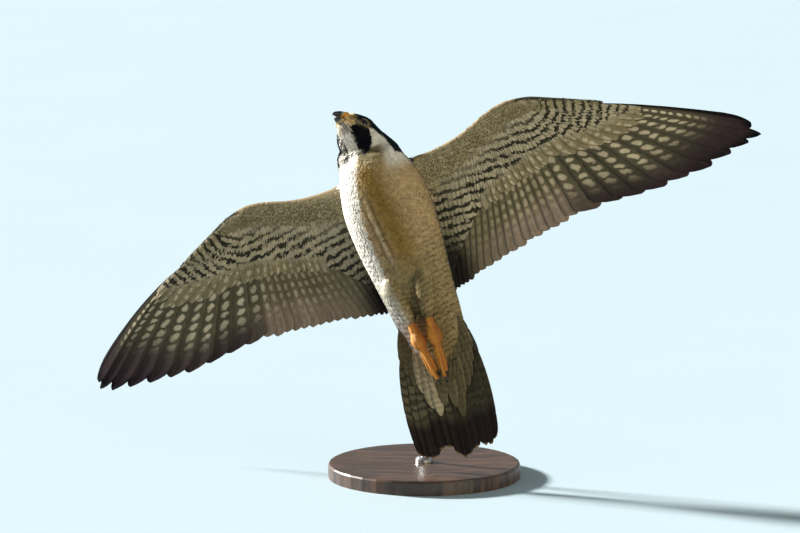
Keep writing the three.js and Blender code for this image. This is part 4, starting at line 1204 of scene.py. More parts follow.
def body_colours(points, normals, jitter):
    """Ground, marks, place among the bars and pattern of the small feathers at these points."""
    x, y, z = points.T
    back = smoothstep(normals[:, 1] + 0.08 * jitter, -0.1, 0.22)
    back = np.maximum(back, smoothstep(y, -4, 0) * smoothstep(-z, 88, 98))
    # Painted shade: right of SHADE_EDGE the breast takes buff, olive and golden shade colours; left of it, in
    # the sun, it stays white
    shaded = smoothstep(x - read_off(z, SHADE_EDGE) + 2 * jitter, -3, 5)
    below_throat = smoothstep(-z, -118, -104) * (1 - smoothstep(x, 18, 34) * smoothstep(z, 72, 92))
    golden_shade = np.exp(-(((x - read_off(z, SHADE_GOLD_MIDDLE)) / SHADE_GOLD_WIDTH) ** 2))
    golden_shade = golden_shade * smoothstep(-z, -98, -84) * (1 - 0.4 * smoothstep(-z, 10, 70)) * shaded
    shade = mix(BUFF, OLIVE, 0.7 * smoothstep(z, 84, 98))
    breast = mix(WHITE, shade, shaded * below_throat)
    breast = mix(breast, SHADE_GOLD, 0.9 * golden_shade)
    # Painted shade in the furrows beside the fold along the breastbone, and a painted highlight, cream, on
    # its crest
    breast = mix(breast, SHADE_GOLD * 0.35, 0.5 * keel(points, *KEEL_FURROW))
    breast = mix(breast, CREAM, 0.6 * keel(points, *KEEL_FOLD))
    # Painted shade: olive over the shaded lower belly
    breast = mix(breast, OLIVE, 0.6 * smoothstep(-z, 10, 50) * shaded)
    # Painted shade over the ledge below the chin, where the sun lights the top of the breast
    ledge_shade = between(z, 96, 100, 110, 114) * between(x, -12, -6, 16, 26)
    breast = mix(breast, OLIVE * 0.35, 0.85 * ledge_shade)
    slate = mix(SLATE, SLATE_DARK, smoothstep(z, 20, 110))
    ground = mix(breast, slate, back * np.interp(z, [76, 92, 97, 100], [1, 1, 0.6, 0]))
    head = head_colours(points + 0.6 * jitter[:, None], ground)
    ground = mix(ground, head, smoothstep(z + 0.8 * jitter, 88, 94))
    mark = mix(ground * 0.42, SLATE_DARK * 0.6, back)
    flank = smoothstep(-z, -26, 20) * smoothstep(np.abs(x), 26, 40)
    bar = np.clip(flank + smoothstep(-z, 44, 74), 0, 1) * (0.75 + 0.25 * jitter)
    spot = (1 - bar) * smoothstep(-z, -62, -40)
    below_neck = 1 - smoothstep(z, 70, 84)
    bar = (bar * (1 - back) + 0.5 * back) * below_neck
    spot = spot * (1 - back) * below_neck * (1 - 0.7 * golden_shade)
    phase = (-z + 0.22 * np.abs(x)) / BODY_BAR_SPACING + 0.24 * jitter
    return ground, mark, phase, patterned(points, bar, spot)


def body_roots(random):
    """Staggered rows of roots down the body: place, lie, region, spacing and way outwards of each."""
    arc, outward = body_arc(), grid_normals(BODY)
    found = []
    at, row = 1.2, 0
    while at < arc[-1] - 2:
        s = float(np.interp(at, arc, np.arange(len(arc))))
        region = float(np.interp(s, np.arange(len(REGIONS)), REGIONS))
        low = int(min(s, len(BODY) - 2))
        part = s - low
        ring = BODY[low] * (1 - part) + BODY[low + 1] * part
        ahead = unit(BODY[low + 1] - BODY[low])
        around = np.linalg.norm(np.roll(ring, -1, axis=0) - ring, axis=1).sum()
        spacing = float(read_off(region, PLUME_SPACING))
        count = max(int(around / spacing), 6)
        turn = np.arange(count) + 0.5 * (row % 2) + random.uniform(-0.25, 0.25, count)
        turn = turn / count * SIDES
        left = np.floor(turn).astype(int) % SIDES
        right, share = (left + 1) % SIDES, (turn - np.floor(turn))[:, None]
        base = ring[left] * (1 - share) + ring[right] * share
        lie = ahead[left] * (1 - share) + ahead[right] * share
        base = base + lie * random.uniform(-0.3, 0.3, (count, 1)) * spacing
        found.append((base, lie, np.full(count, region), np.full(count, spacing), outward[low, left]))
        at += spacing * ROW_OVERLAP
        row += 1
    return tuple(np.concatenate(values) for values in zip(*found))


# Small body feathers by region: spacing, lift over the skin and rise of the tip; then their length and
# width as shares of the spacing
PLUME_SPACING = [[0, 1.5], [0.5, 1.9], [1, 2.5], [2, 3.7], [2.5, 4.6], [3, 5.2], [4, 6]]
PLUME_LIFT = [[0, 0.2], [1, 0.4], [2, 0.6], [3, 0.7]]
PLUME_RISE = [[0, 0.6], [0.8, 0.9], [2, 1.15], [3, 1.6]]
PLUME_LENGTH, PLUME_WIDTH, ROW_OVERLAP = 3.1, 1.75, 0.72
# Name, first and last region, and how much each feather's sides curve down
BODY_COATS = [
    ("head_feathers", -1, 1.35, 0.02), ("breast_feathers", 1.35, 2.5, 0.012),
    ("belly_feathers", 2.5, 9, 0.012),
]


def clear_of_bare_parts(roots):
    """Which roots lie clear of the bill, the eyes and the gape."""
    local = in_head(roots)
    side, up, forward = local.T
    keep = forward < CERE[0][0] + 0.6
    for sign in SIGNS.values():
        socket = EyeSocket(sign)
        opening = socket.centre + socket.outward * EYE_OPENING_OUT
        keep &= np.linalg.norm(local - opening, axis=1) > EYE_OPENING_RADIUS
    gape = (forward > 19) & (np.abs(up + 6.2) < 1.2) & (np.abs(side) > 6)
    return keep & ~gape


def make_body_coat(skin_map):
    random = np.random.default_rng(SEED + 40)
    roots, lies, regions, sizes, outward = body_roots(random)
    _, normals, _, gaps = skin_map.nearest(roots)
    keep = (gaps < 6.5) & clear_of_bare_parts(roots) & ((normals * outward).sum(axis=1) > 0.6)
    roots, lies, regions, sizes, normals = (x[keep] for x in (roots, lies, regions, sizes, normals))
    lies = unit(lies + random.normal(0, 0.05, lies.shape))
    for name, low, high, crown in BODY_COATS:
        pick = (regions >= low) & (regions < high)
        count = pick.sum()
        size = sizes[pick] * random.uniform(0.88, 1.15, count)
        lift = read_off(regions[pick], PLUME_LIFT) + random.uniform(-0.12, 0.12, count)
        obj, which, points = plumes(name, skin_map, roots[pick], lies[pick], size * PLUME_LENGTH,
                                    size * PLUME_WIDTH, lift, read_off(regions[pick], PLUME_RISE),
                                    random, crown, plumage_swell)
        jitter = random.uniform(-1, 1, count)[which]
        ground, mark, phase, pattern = body_colours(points, normals[pick][which], jitter)
        pattern[:, 1] *= random.uniform(0, 1, count)[which]
        paint_feathers(obj, ground, mark, phase, pattern)
        yield obj


# Lesser coverts: rows by share of the chord, feathers a row, and the wing feather beside each place
LESSER_CHORDS = [0.004, 0.018, 0.04, 0.07, 0.105, 0.15, 0.2, 0.26, 0.33, 0.41, 0.5, 0.6]
LESSER_COUNT = 95
NUMBER_AT = [[68, -16], [112, -12], [149, -6], [187, 0], [226, 5], [262, 10]]
SPECKLE_SPACING = 4.6


def wing_coat_roots(wing, random):
    """Small feathers over the wing's flesh, from its front edge back, on both faces: place, lie,
    face and share of the chord of each."""
    found = []
    for face in (1, -1):
        for row, chord in enumerate(LESSER_CHORDS):
            at = np.arange(LESSER_COUNT) + 0.5 * (row % 2) + random.uniform(-0.3, 0.3, LESSER_COUNT)
            rows = in_order(CORE, at / LESSER_COUNT * (len(CORE) - 1.2))
            share = np.clip(chord * (1 + random.uniform(-0.12, 0.12, LESSER_COUNT)), 0, 1)
            place = core_points(wing, rows, share, face)
            number = read_off(rows[:, 0], NUMBER_AT)
            run = along(FEATHER_TIPS, number) - along(FEATHER_ROOTS, number)
            step_u, step_v = unit(unit(run) * 0.6 + [0.0, -0.4]).T * 0.5
            u = rows[:, 0] + (rows[:, 2] - rows[:, 0]) * share
            v = rows[:, 1] + (rows[:, 3] - rows[:, 1]) * share
            plan = wing_points(wing, u + step_u, v + step_v, 0) - wing_points(wing, u, v, 0)
            ahead = core_points(wing, rows, np.clip(share + 0.02, 0, 1), face) - place
            found.append((place, unit(unit(plan) + 0.8 * unit(ahead)), np.full(LESSER_COUNT, face), share))
    return tuple(np.concatenate(values) for values in zip(*found))


def wing_bars(wing, points):
    """How strongly points in the bird's frame are barred, and their place among the bars."""
    numbers, shares = np.meshgrid(np.arange(-18, 12, 0.25), np.arange(-0.6, 0.8, 0.02), indexing="ij")
    u, v = shaft_points(wing, numbers, shares)
    tree = tree_of(wing_points(wing, u, v, 0).reshape(-1, 3) * [1, 0, 1])
    nearest = np.array([tree.find(point)[1] for point in points * [1, 0, 1]])
    return bars_at(u.ravel()[nearest], v.ravel()[nearest])


def make_wing_coat(key, skin_map):
    wing = WINGS[key]
    random = np.random.default_rng(SEED + 60 + wing["sign"])
    roots, lies, tops, edge = wing_coat_roots(wing, random)
    keep = skin_map.nearest(roots)[3] < 4
    roots, lies, tops, edge = roots[keep], lies[keep], tops[keep], edge[keep]
    count = len(roots)
    behind = smoothstep(edge, 0.0, 0.22)
    length = (5.5 + 6.5 * behind) * random.uniform(0.9, 1.1, count)
    width = (4.2 + 2.6 * behind) * random.uniform(0.9, 1.1, count)
    obj, which, points = plumes(f"wing_lesser_{key}", skin_map, roots, lies, length, width,
                                0.15 + 0.2 * behind, 0.35 + 1.1 * behind, random, 0.02)
    above = tops[which] > 0
    jitter = random.uniform(0, 1, count)[which]
    barred, phase = wing_bars(wing, points)
    on_hand = smoothstep(np.abs(points[:, 0]), 184, 192)
    rim = 1 - smoothstep(edge[which], 0.012 + 0.02 * on_hand, 0.035 + 0.03 * on_hand)
    under = mix(OLIVE, TAN, 0.15 + 0.5 * jitter)
    under = mix(under, mix(BUFF * 0.5, BLACKISH, on_hand), 0.9 * rim)
    over = mix(SLATE, SLATE_DARK, 0.3 + 0.3 * jitter)
    ground = np.where(above[:, None], over, under)
    mark = np.where(above[:, None], SLATE_DARK * 0.6, mix(OLIVE_SPECK, DARK_BAR, barred))
    strength = np.where(above, 0.4, (0.25 + 0.7 * barred) * (1 - rim))
    spots = np.where(above, 0, 0.95 * (1 - barred) * (1 - rim))
    phase = phase * barred + points[:, 2] / SPECKLE_SPACING * (1 - barred)
    paint_feathers(obj, ground, mark, phase, patterned(points, strength, spots))
    return obj


def make_thigh_coat(key, skin_map):
    leg = LEGS[key]
    random = np.random.default_rng(SEED + 80 + leg["sign"])
    rings = limb_rings(THIGH, LEG_SIDES, leg, 0, 6)
    roots = rings[1:].reshape(-1, 3)
    roots = roots + random.normal(0, 0.8, roots.shape)
    lies = unit(np.gradient(rings, axis=0)[1:].reshape(-1, 3))
    keep = skin_map.nearest(roots)[3] < 5
    roots, lies = roots[keep], lies[keep]
    count = len(roots)
    lowest = smoothstep(-roots[:, 2], 84, 100)
    length = random.uniform(12, 16, count) + random.uniform(4, 15, count) * lowest
    width = random.uniform(5, 7, count) - 1.5 * lowest
    obj, which, points = plumes(f"thigh_feathers_{key}", skin_map, roots, lies, length, width,
                                0.5 + 2.6 * lowest, np.full(count, 1.6), random, 0.03)
    jitter = random.uniform(-1, 1, count)[which]
    # Coloured as the belly before them, all round
    ahead_facing = np.tile([0.0, -1.0, 0.0], (len(points), 1))
    ground, mark, phase, _ = body_colours(points * [1, 0, 1] + [0, -40, 0], ahead_facing, jitter)
    # Painted shade: olive over the thighs, strongest at the top, where the sun lights their bump
    top_shade = 1 - smoothstep(-points[:, 2], 62, 86)
    ground = mix(ground, OLIVE, 0.2 + 0.45 * top_shade)
    paint_feathers(obj, ground, mark, phase, patterned(points, bars=0.75))
    return obj


# Head parts

def bill_rings(rows, sides, steps):
    """Oval rings of a bill piece, in the head's frame."""
    rows = finer(rows, steps)[:, :, None]
    forward, up, slope, half_width, half_height = (rows[:, i] for i in range(5))
    angle = circle(sides)[None]
    rise = np.sin(angle) * half_height
    slope = np.radians(slope)
    left = np.cos(angle) * half_width
    return np.stack([left, up + rise * np.cos(slope), forward - rise * np.sin(slope)], axis=-1)


# The tomial tooth, a small point on each cutting edge: place forward and sideways, and size
TOOTH_FORWARD, TOOTH_ASIDE, TOOTH_DROP = 33.6, 3.9, 1.3
CUTTING_EDGE = [[30, -3.2], [36, -6.5], [39, -10.4]]


def make_upper_bill():
    rings = bill_rings(UPPER_BILL, 36, 8)
    side, up, forward = np.moveaxis(rings, -1, 0)
    low = up < read_off(forward, CUTTING_EDGE)
    near = np.exp(-((forward - TOOTH_FORWARD) / 0.9) ** 2 - ((np.abs(side) - TOOTH_ASIDE) / 1.2) ** 2)
    rings[..., 1] -= TOOTH_DROP * near * low
    return tube_object("bill_upper_horn", [rings], head_points)


def make_lower_bill():
    return tube_object("bill_lower_horn", [bill_rings(LOWER_BILL, 32, 6)], head_points)


def make_cere():
    """The cere, with a round pit and a lip at each nostril."""
    rings = bill_rings(CERE, 56, 12)
    for sign in (1, -1):
        away = np.linalg.norm(rings - NOSTRIL * [sign, 1, 1], axis=-1)
        pit = np.clip(1 - away / NOSTRIL_RADIUS, 0, 1) ** 0.5
        lip = np.exp(-((away - NOSTRIL_RADIUS * 1.35) / 0.4) ** 2)
        rings[..., 0] += sign * (NOSTRIL_LIP * lip - NOSTRIL_DEPTH * pit)
    return tube_object("cere_skin", [rings], head_points)


def make_tubercles():
    """The small cone inside each round nostril."""
    t, angle = np.linspace(0, 1, 6)[:, None], circle(12)[None]
    radius = TUBERCLE_RADIUS * (1 - 0.9 * t ** 2)
    up, forward = NOSTRIL[1] + radius * np.cos(angle), NOSTRIL[2] + radius * np.sin(angle)
    out = TUBERCLE_START + TUBERCLE_LENGTH * t + 0 * angle
    cones = [np.stack([sign * out, up, forward], -1) for sign in (1, -1)]
    return tube_object("nostril_tubercles", cones, head_points)


class EyeSocket:
    """One eye's place in the head: across, up and outward from the middle of the eyeball."""

    def __init__(self, sign):
        angle = math.radians(EYE_FORWARD_DEG)
        self.centre = EYE_PLACE * [sign, 1, 1]
        self.outward = np.array([sign * math.cos(angle), 0, math.sin(angle)])
        self.upward = np.array([0.0, 1.0, 0.0])
        self.across = np.cross(self.upward, self.outward)

    def points(self, across, up, out):
        """Points in the head's frame, a row each."""
        across, up, out = np.broadcast_arrays(across, up, out)
        offset = across[..., None] * self.across + up[..., None] * self.upward
        return (offset + out[..., None] * self.outward + self.centre).reshape(-1, 3)


def make_eye(key):
    """An eyeball whose cornea bulges a little. Polar is the angle from its axis."""
    polar = np.linspace(0.02, np.pi - 0.02, EYE_ROWS)[:, None]
    angle = circle(EYE_SIDES)[None]
    radius = EYE_RADIUS * (1 + CORNEA_BULGE * np.exp(-(polar / CORNEA_ANGLE) ** 2))
    ring = radius * np.sin(polar)
    local = EyeSocket(SIGNS[key]).points(ring * np.cos(angle), ring * np.sin(angle), radius * np.cos(polar))
    obj = mesh_object(f"eyeball_{key}", head_points(local), grid_faces(EYE_ROWS, EYE_SIDES, closed=True))
    paint(obj, "Polar", np.repeat(polar, EYE_SIDES), "FLOAT")
    return obj


def make_lids(key):
    """A wrinkled ring of bare skin round the eye, a little longer than high."""
    angle, tube = circle(LID_ROWS)[:, None], circle(LID_SIDES)[None]
    wrinkle = 1 + 0.06 * np.sin(angle * LID_WRINKLES) * np.cos(tube)
    radial = LID_RADIUS * wrinkle * np.cos(tube)
    along_ring, up_ring = np.cos(angle), np.sin(angle)
    corner = 1 + 0.1 * np.abs(along_ring) ** 6
    out = LID_OUT - 0.55 * along_ring ** 2 + LID_RADIUS * 0.9 * wrinkle * np.sin(tube)
    local = EyeSocket(SIGNS[key]).points(along_ring * (LID_HALF_LENGTH * corner + radial),
                                         up_ring * (LID_HALF_HEIGHT + radial), out)
    quads = grid_faces(LID_ROWS + 1, LID_SIDES, closed=True) % (LID_ROWS * LID_SIDES)
    return mesh_object(f"eyelids_{key}", head_points(local), quads)


# The yellow rim of the mouth on the left, from the cere back to below the eye: rows of place and
# radius for its middle line, and how far each lip lies over or under that
GAPE = [
    [7.4, -5.4, 27.5, 0.8], [8.7, -5.7, 24.5, 0.85], [11.3, -6.2, 20.5, 0.8],
    [13.6, -6.9, 16.5, 0.65], [15.2, -7.6, 13.2, 0.25],
]
GAPE_LIPS = (0.55, -0.75)
GAPE_LIP_SHARES = np.array([1, 1, 1, 1, 0.4])


def make_gape():
    tubes = []
    for sign in (1, -1):
        for lip in GAPE_LIPS:
            rows = np.array(GAPE) * [sign, 1, 1, 1]
            rows[:, 1] += lip * GAPE_LIP_SHARES
            tubes.append(limb_rings(rows, 12, None, 0, 5))
    return tube_object("gape_rim", tubes, head_points)


# Feet

def toe_path(leg, toe, steps=30):
    """Places along a folded toe, and their share of its length."""
    t = np.linspace(0, 1, steps)
    spread = np.sin(np.pi * t / 2)
    side = TOE_SIDEWAYS * toe["side"] * spread + TOE_SPLAY * toe["splay"] * np.sin(np.pi * t)
    side = side - TOE_INWARD * toe["length"] * t
    x = leg["sign"] * (TOE_START[0] + side) + leg["shift"]
    y = TOE_START[1] + toe["lift"] * spread + 3 * t * t
    return np.stack([x, y, TOE_START[2] - toe["length"] * t], 1), t


def make_foot(key):
    """Shank with rings of scutes, palm, and toes with pads."""
    leg = LEGS[key]
    shank = limb_rings(TARSUS, FOOT_SIDES, leg, 0, 16)
    scutes = 1 + 0.035 * np.abs(np.sin(np.arange(len(shank)) * 0.62))
    middle = shank.mean(axis=1, keepdims=True)
    tubes = [middle + (shank - middle) * scutes[:, None, None], limb_rings(PALM, FOOT_SIDES, leg, 0, 8)]
    for toe in TOES.values():
        path, t = toe_path(leg, toe)
        pads = 1 + 0.1 * np.abs(np.sin(t * np.pi * 3.5)) ** 2
        radius = toe["radius"] * (1.22 - 0.5 * t) * pads
        tubes.append(limb_rings(np.column_stack([path, radius]), TOE_SIDES, None, 0, 2))
    return tube_object(f"foot_skin_{key}", tubes)


def make_claws(key):
    """Curved claws that start inside the toes' ends."""
    t = np.linspace(0, 1, 14)
    reach = CLAW_LENGTH * np.sin(t * CLAW_CURVE) / CLAW_CURVE - 0.8
    drop = CLAW_LENGTH * (1 - np.cos(t * CLAW_CURVE)) / CLAW_CURVE
    tubes = []
    for toe in TOES.values():
        path, _ = toe_path(LEGS[key], toe)
        centres = path[-1] + unit(path[-1] - path[-2]) * reach[:, None]
        centres = centres + np.array([0, 1, 0]) * drop[:, None]
        tubes.append(limb_rings(np.column_stack([centres, CLAW_RADIUS * (1 - 0.93 * t)]), CLAW_SIDES))
    return tube_object(f"claws_{key}", tubes)


# Materials

class Nodes:
    """Small help to write node trees as expressions."""

    def __init__(self, name):
        self.material = bpy.data.materials.new(name)
        self.material.use_nodes = True
        self.tree = self.material.node_tree
        self.shader = self.tree.nodes["Principled BSDF"]

    def wire(self, value, socket):
        if isinstance(value, bpy.types.NodeSocket):
            self.tree.links.new(value, socket)
        else:
            socket.default_value = value

    def node(self, kind, inputs=(), **settings):
        """A node with these settings, and with values or links by the name or number of the input."""
        node = self.tree.nodes.new("ShaderNode" + kind)
        for key, value in settings.items():
            setattr(node, key, value)
        for name, value in dict(inputs).items():
            self.wire(value, node.inputs[name])
        return node

    def attribute(self, name, output="Color"):
        return self.node("Attribute", attribute_name=name).outputs[output]

    def math(self, operation, *values):
        return self.node("Math", enumerate(values), operation=operation).outputs[0]

    def plus(self, a, b):
        return self.math("ADD", a, b)

    def minus(self, a, b):
        return self.math("SUBTRACT", a, b)

    def times(self, a, b):
        return self.math("MULTIPLY", a, b)

    def square(self, value):
        return self.math("POWER", value, 2.0)

    def wave(self, phase):
        """A sine that repeats with each whole number."""
        return self.math("SINE", self.times(phase, 2 * math.pi))

    def ramp(self, value, low, high, to_low=0.0, to_high=1.0):
        inputs = {"Value": value, "From Min": low, "From Max": high, "To Min": to_low, "To Max": to_high}
        return self.node("MapRange", inputs, interpolation_type="SMOOTHSTEP").outputs[0]

    def blend(self, part, a, b, kind="MIX"):
        return self.node("Mix", {0: part, 6: a, 7: b}, data_type="RGBA", blend_type=kind).outputs[2]

    def grey(self, value):
        return self.node("CombineColor", {0: value, 1: value, 2: value}).outputs[0]

    def place(self):
        return self.node("TexCoord").outputs["Object"]

    def noise(self, scale, detail=3.0, rough=0.55):
        inputs = {"Vector": self.place(), "Scale": scale, "Detail": detail, "Roughness": rough}
        return self.node("TexNoise", inputs).outputs[0]

    def bump(self, height, strength, distance):
        node = self.node("Bump", {"Strength": strength, "Distance": distance, "Height": height})
        self.wire(node.outputs[0], self.shader.inputs["Normal"])

    def colour(self, value):
        self.wire(value, self.shader.inputs["Base Color"])

    def set(self, **values):
        for name, value in values.items():
            self.shader.inputs[name.replace("_", " ")].default_value = value


def feather_material():
    """Ground and marks from the attributes: bars, a spot near the tip, ovals and the shaft."""
    n = Nodes("feather")
    ground, mark = n.attribute("Ground"), n.attribute("Mark")
    across, lengthways, chance = n.node("SeparateXYZ", {0: n.attribute("Lay", "Vector")}).outputs
    run = n.attribute("Run", "Fac")
    shaft_weight = n.attribute("Pattern", "Alpha")
    weights = n.node("SeparateColor", {0: n.attribute("Pattern")}).outputs
    wobble = n.times(n.minus(n.noise(95, 3), 0.5), 1.1)
    chevron = n.times(n.times(across, across), 0.2)
    phase = n.plus(n.attribute("Phase", "Fac"), n.plus(chevron, wobble))
    wave = n.wave(n.plus(phase, n.times(chance, 0.12)))
    bar = n.times(n.ramp(wave, -0.05, 0.45), n.ramp(n.noise(150, 2), 0.32, 0.46, 0.25, 1.0))
    across_spot = n.square(n.times(across, 2.3))
    along_spot = n.square(n.times(n.minus(lengthways, 0.82), 7.0))
    spot = n.ramp(n.plus(across_spot, along_spot), 1.2, 0.3)
    along_oval = n.square(n.times(n.minus(n.math("FRACT", phase), 0.5), 2.8))
    across_oval = n.square(n.times(n.plus(across, 0.52), 4.2))
    oval_mask = n.ramp(n.plus(along_oval, across_oval), 1.5, 0.25)
    mask = n.times(bar, weights[0])
    mask = n.math("MAXIMUM", mask, n.times(spot, weights[1]))
    mask = n.math("MAXIMUM", mask, n.times(oval_mask, weights[2]))
    colour = n.blend(mask, ground, mark)
    shaft = n.times(n.ramp(n.math("ABSOLUTE", across), 0.07, 0.03), shaft_weight)
    colour = n.blend(n.times(shaft, 0.45), colour, SHAFT_BROWN)
    tone = n.ramp(n.noise(160, 3), 0.25, 0.75, 0.86, 1.1)
    tone = n.times(tone, n.ramp(chance, 0.0, 1.0, 0.86, 1.1))
    n.colour(n.blend(1.0, colour, n.grey(tone), "MULTIPLY"))
    barbs = n.minus(n.times(run, 1.4), n.times(n.math("ABSOLUTE", across), 7.0))
    n.bump(n.wave(barbs), 0.2, 0.00015)
    n.set(Roughness=0.85, Specular_IOR_Level=0.1)
    return n.material


def skin_material():
    n = Nodes("down_over_skin")
    fluff = n.ramp(n.noise(900, 4), 0.3, 0.7, 0.75, 1.1)
    n.colour(n.blend(1.0, n.attribute("Ground"), n.grey(fluff), "MULTIPLY"))
    n.bump(n.noise(1500, 4), 0.5, 0.0005)
    n.set(Roughness=0.85)
    return n.material


def horn_material(name, base_colour):
    n = Nodes(name)
    streaks = n.noise(700, 4)
    darkening = n.ramp(n.plus(n.attribute("Tipward", "Fac"), n.times(streaks, 0.12)), 0.1, 0.34)
    n.colour(n.blend(darkening, base_colour, HORN_TIP))
    n.bump(streaks, 0.2, 0.0003)
    n.set(Roughness=0.45, Coat_Weight=0.1, Coat_Roughness=0.3)
    return n.material


def bare_skin_material(name, colour, second, scale, depth, shade_colour=None):
    """Skin in small scales with darker seams, and with painted shade on one side where a shade colour is
    given.
    """
    n = Nodes(name)
    cells = n.node("TexVoronoi", {"Scale": scale, "Vector": n.place()}, feature="DISTANCE_TO_EDGE")
    seam = n.ramp(cells.outputs[0], 0.0, 0.16)
    warm = n.blend(n.ramp(n.noise(260, 3), 0.35, 0.7), colour, second)
    # Painted shade on the side of the skin that faces away from the sun
    if shade_colour:
        warm = n.blend(n.attribute("SideShade", "Fac"), warm, shade_colour)
    dark = tuple(channel * 0.5 for channel in second[:3]) + (1,)
    n.colour(n.blend(seam, dark, warm))
    n.bump(seam, 0.6, depth)
    n.set(Roughness=0.5, Subsurface_Weight=0.08, Subsurface_Radius=(0.002, 0.001, 0.0005))
    return n.material


def eye_material():
    n = Nodes("dark_eye")
    iris = n.blend(n.ramp(n.noise(1800, 5), 0.3, 0.7), IRIS_BROWN, IRIS_DARK)
    n.colour(n.blend(n.ramp(n.attribute("Polar", "Fac"), 0.34, 0.4), PUPIL, iris))
    n.set(Roughness=0.12, Coat_Weight=0.3, Coat_Roughness=0.03, IOR=1.33)
    return n.material


def claw_material():
    n = Nodes("claw_horn")
    n.colour(n.blend(n.ramp(n.noise(900, 3), 0.3, 0.7), CLAW_BLACK, CLAW_GREY))
    n.bump(n.noise(1500, 3), 0.15, 0.0002)
    n.set(Roughness=0.28)
    return n.material


def wood_material():
    n = Nodes("stand_wood")
    stretched = n.node("Mapping", {"Scale": (1.0, 9.0, 1.0), "Vector": n.place()}).outputs[0]
    inputs = {"Scale": 22, "Detail": 8, "Distortion": 0.6, "Vector": stretched}
    grain = n.node("TexNoise", inputs).outputs[0]
    n.colour(n.blend(n.ramp(grain, 0.35, 0.68), WOOD_DARK, WOOD_BROWN))
    n.bump(grain, 0.15, 0.0006)
    n.set(Roughness=0.42, Coat_Weight=0.3, Coat_Roughness=0.3)
    return n.material


def steel_material():
    n = Nodes("brushed_steel")
    n.colour(n.grey(n.ramp(n.noise(340, 5), 0.3, 0.7, 0.4, 0.62)))
    n.bump(n.noise(2600, 3), 0.1, 0.0001)
    n.set(Roughness=0.34, Metallic=1.0)
    return n.material


# Assembly

def face_outward(obj):
    """Turn the faces of a piece over where they point at its middle."""
    mesh = obj.data
    mesh.calc_loop_triangles()
    points = read(mesh.vertices, "co").astype(float)
    corners = read(mesh.loop_triangles, "vertices", 3, np.int32)
    a, b, c = ((points - points.mean(axis=0))[corners[:, i]] for i in range(3))
    if (a * np.cross(b, c)).sum() < 0:
        mesh.flip_normals()


def dress(obj, material, nodes=()):
    face_outward(obj)
    obj.data.materials.clear()
    obj.data.materials.append(material)
    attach(obj, "root")
    if nodes:
        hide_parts(*nodes)
    return obj


def paint_skin(skin, skin_map):
    """The same markings as the feathers over it, darker as painted shade, since it shows only between them.
    """
    normals = read(skin.data.vertices, "normal") @ BIRD_TURN
    points = skin_map.points
    ground, mark, _, pattern = body_colours(points, normals, np.zeros(len(points)))
    wing = mix(mix(OLIVE, DARK_BAR, 0.3), SLATE_DARK, smoothstep(normals[:, 1], -0.1, 0.2))
    wing_part = smoothstep(np.abs(points[:, 0]), 56, 64)
    paint(skin, "Ground", mix(mix(ground, mark, 0.3 * pattern[:, 0]), wing, wing_part) * 0.8)


def paint_shaded_side(obj):
    """Painted shade: how far each point of a foot faces the bird's left, away from the sun."""
    facing = read(obj.data.vertices, "normal") @ BIRD_TURN
    paint(obj, "SideShade", 0.85 * smoothstep(facing[:, 0], -0.1, 0.75), "FLOAT")


def tipward(obj, base, tip):
    """Share of the way from the base to the tip of a horn piece, by its place ahead of the head."""
    _, up, forward = in_head(in_bird(read(obj.data.vertices, "co"))).T
    paint(obj, "Tipward", np.clip((forward - 0.6 * up - base) / (tip - base), 0, 1), "FLOAT")


def make_bird():
    feather = feather_material()
    skin = make_skin()
    skin_map = SkinMap(skin)
    paint_skin(skin, skin_map)
    dress(skin, skin_material(), ["torso", "neck", "leg_l_thigh", "leg_r_thigh"])
    head_coat, breast_coat, belly_coat = make_body_coat(skin_map)
    dress(head_coat, feather, ["head"])
    dress(breast_coat, feather)
    dress(belly_coat, feather)
    for key in WINGS:
        dress(make_flight_feathers(key), feather, [f"wing_{key}_hand", f"wing_{key}_arm"])
        dress(make_wing_coverts(key), feather)
        dress(make_alula(key), feather, [f"wing_{key}_alula"])
        dress(make_armpit(key), feather)
        dress(make_wing_coat(key, skin_map), feather)
        dress(make_thigh_coat(key, skin_map), feather)
    tail, tail_coverts = make_tail()
    dress(tail, feather, ["tail"])
    dress(tail_coverts, feather)


def make_bare_parts():
    upper, lower = make_upper_bill(), make_lower_bill()
    tipward(upper, 31.5, 46)
    tipward(lower, 33.5, 44)
    dress(upper, horn_material("horn_upper", HORN_BASE), ["bill_upper"])
    dress(lower, horn_material("horn_lower", LOWER_BASE), ["bill_lower"])
    cere = bare_skin_material("cere_yellow", YELLOW, ORANGE, *FINE_SCALES)
    dress(make_cere(), cere, ["cere"])
    dress(make_tubercles(), cere)
    dress(make_gape(), bare_skin_material("gape_rim_skin", CREAM_YELLOW, YELLOW, *FINE_SCALES))
    lids = bare_skin_material("eyelid_skin", OLIVE_YELLOW, LID_YELLOW, *FINE_SCALES)
    eye = eye_material()
    for key in SIGNS:
        dress(make_eye(key), eye, [f"eye_{key}"])
        dress(make_lids(key), lids)
    scales = bare_skin_material("foot_scales", ORANGE, DEEP_ORANGE, *FOOT_SCALES, SHADE_ORANGE)
    claw = claw_material()
    for key in LEGS:
        foot = make_foot(key)
        dress(foot, scales, [f"leg_{key}_tarsus", f"leg_{key}_foot"])
        # Painted shade on the foot's side away from the sun
        paint_shaded_side(foot)
        dress(make_claws(key), claw, [f"leg_{key}_claw_{toe}" for toe in TOES])


def finish_stand():
    steel = steel_material()
    for name, material in (("stand_base", wood_material()), ("stand_collar", steel), ("stand_rod", steel)):
        bpy.data.objects[name].material_slots[0].material = material


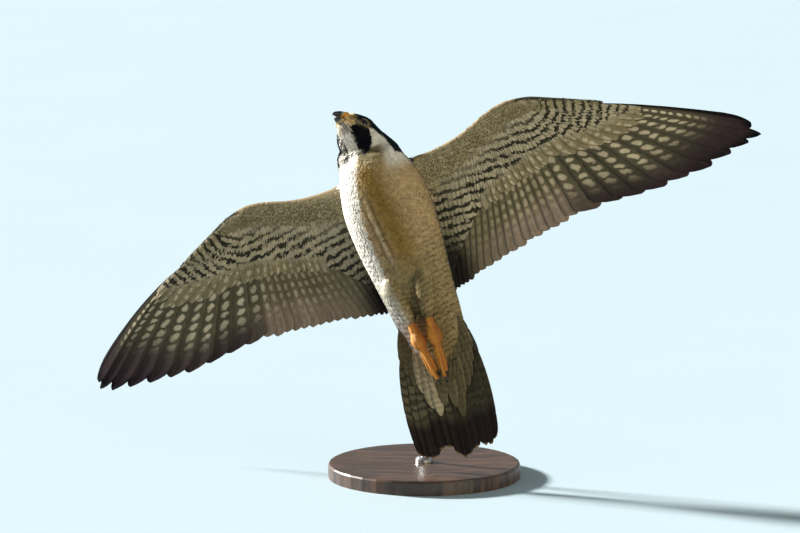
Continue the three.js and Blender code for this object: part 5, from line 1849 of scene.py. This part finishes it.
def make_floor():
    """A plain pale floor, whose own colour doesn't light the bird from below."""
    bpy.ops.mesh.primitive_plane_add(size=FLOOR_SIZE, location=(0, 0, 0))
    floor = bpy.context.active_object
    floor.name = "studio_floor"
    n = Nodes("pale_floor")
    n.colour(n.blend(n.noise(3, 3), FLOOR_BLUE, FLOOR_PALE))
    n.set(Roughness=0.9)
    floor.data.materials.append(n.material)
    floor.visible_diffuse = False
    floor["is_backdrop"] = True


def make_lamp(name, kind, energy, colour, **settings):
    """A lamp that shines along its own -Z."""
    light = bpy.data.lights.new(name, kind)
    light.energy = energy
    light.color = colour
    for key, value in settings.items():
        setattr(light, key, value)
    return link(bpy.data.objects.new(name, light))


def make_light():
    world = bpy.data.worlds.new("soft_room")
    bpy.context.scene.world = world
    world.use_nodes = True
    background = world.node_tree.nodes["Background"]
    background.inputs["Color"].default_value = ROOM_COLOUR
    background.inputs["Strength"].default_value = ROOM_STRENGTH
    sun = make_lamp("sun", "SUN", SUN_STRENGTH, SUN_COLOUR, angle=math.radians(SUN_SIZE_DEG))
    sun.rotation_euler = Vector(SUN_FROM).to_track_quat("Z", "Y").to_euler()
    warm = make_lamp("warm_front", "AREA", WARM_POWER, WARM_COLOUR, size=WARM_SIZE)
    warm.location = WARM_PLACE
    warm.rotation_euler = (Vector(BIRD_PLACE) - Vector(WARM_PLACE)).to_track_quat("-Z", "Y").to_euler()


def make_camera():
    elevation = math.radians(CAMERA_ELEVATION_DEG)
    forward = Vector((0, math.cos(elevation), -math.sin(elevation)))
    up = Vector((0, math.sin(elevation), math.cos(elevation)))
    target = Vector(BIRD_PLACE) - up * CAMERA_DROP
    camera = bpy.data.cameras.new("camera")
    camera.lens = CAMERA_LENS
    camera.sensor_width = 36
    camera.clip_end = 200
    obj = link(bpy.data.objects.new("camera", camera))
    obj.location = target - forward * CAMERA_DISTANCE
    obj.rotation_euler = (math.radians(90) - elevation, 0, 0)
    bpy.context.scene.camera = obj
    bpy.context.scene.view_settings.view_transform = "Standard"


make_camera()
make_light()
make_floor()
make_bird()
make_bare_parts()
finish_stand()
plain = [[[float(x) for x in corner] for corner in box] for box in (CAD_BOX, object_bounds())]
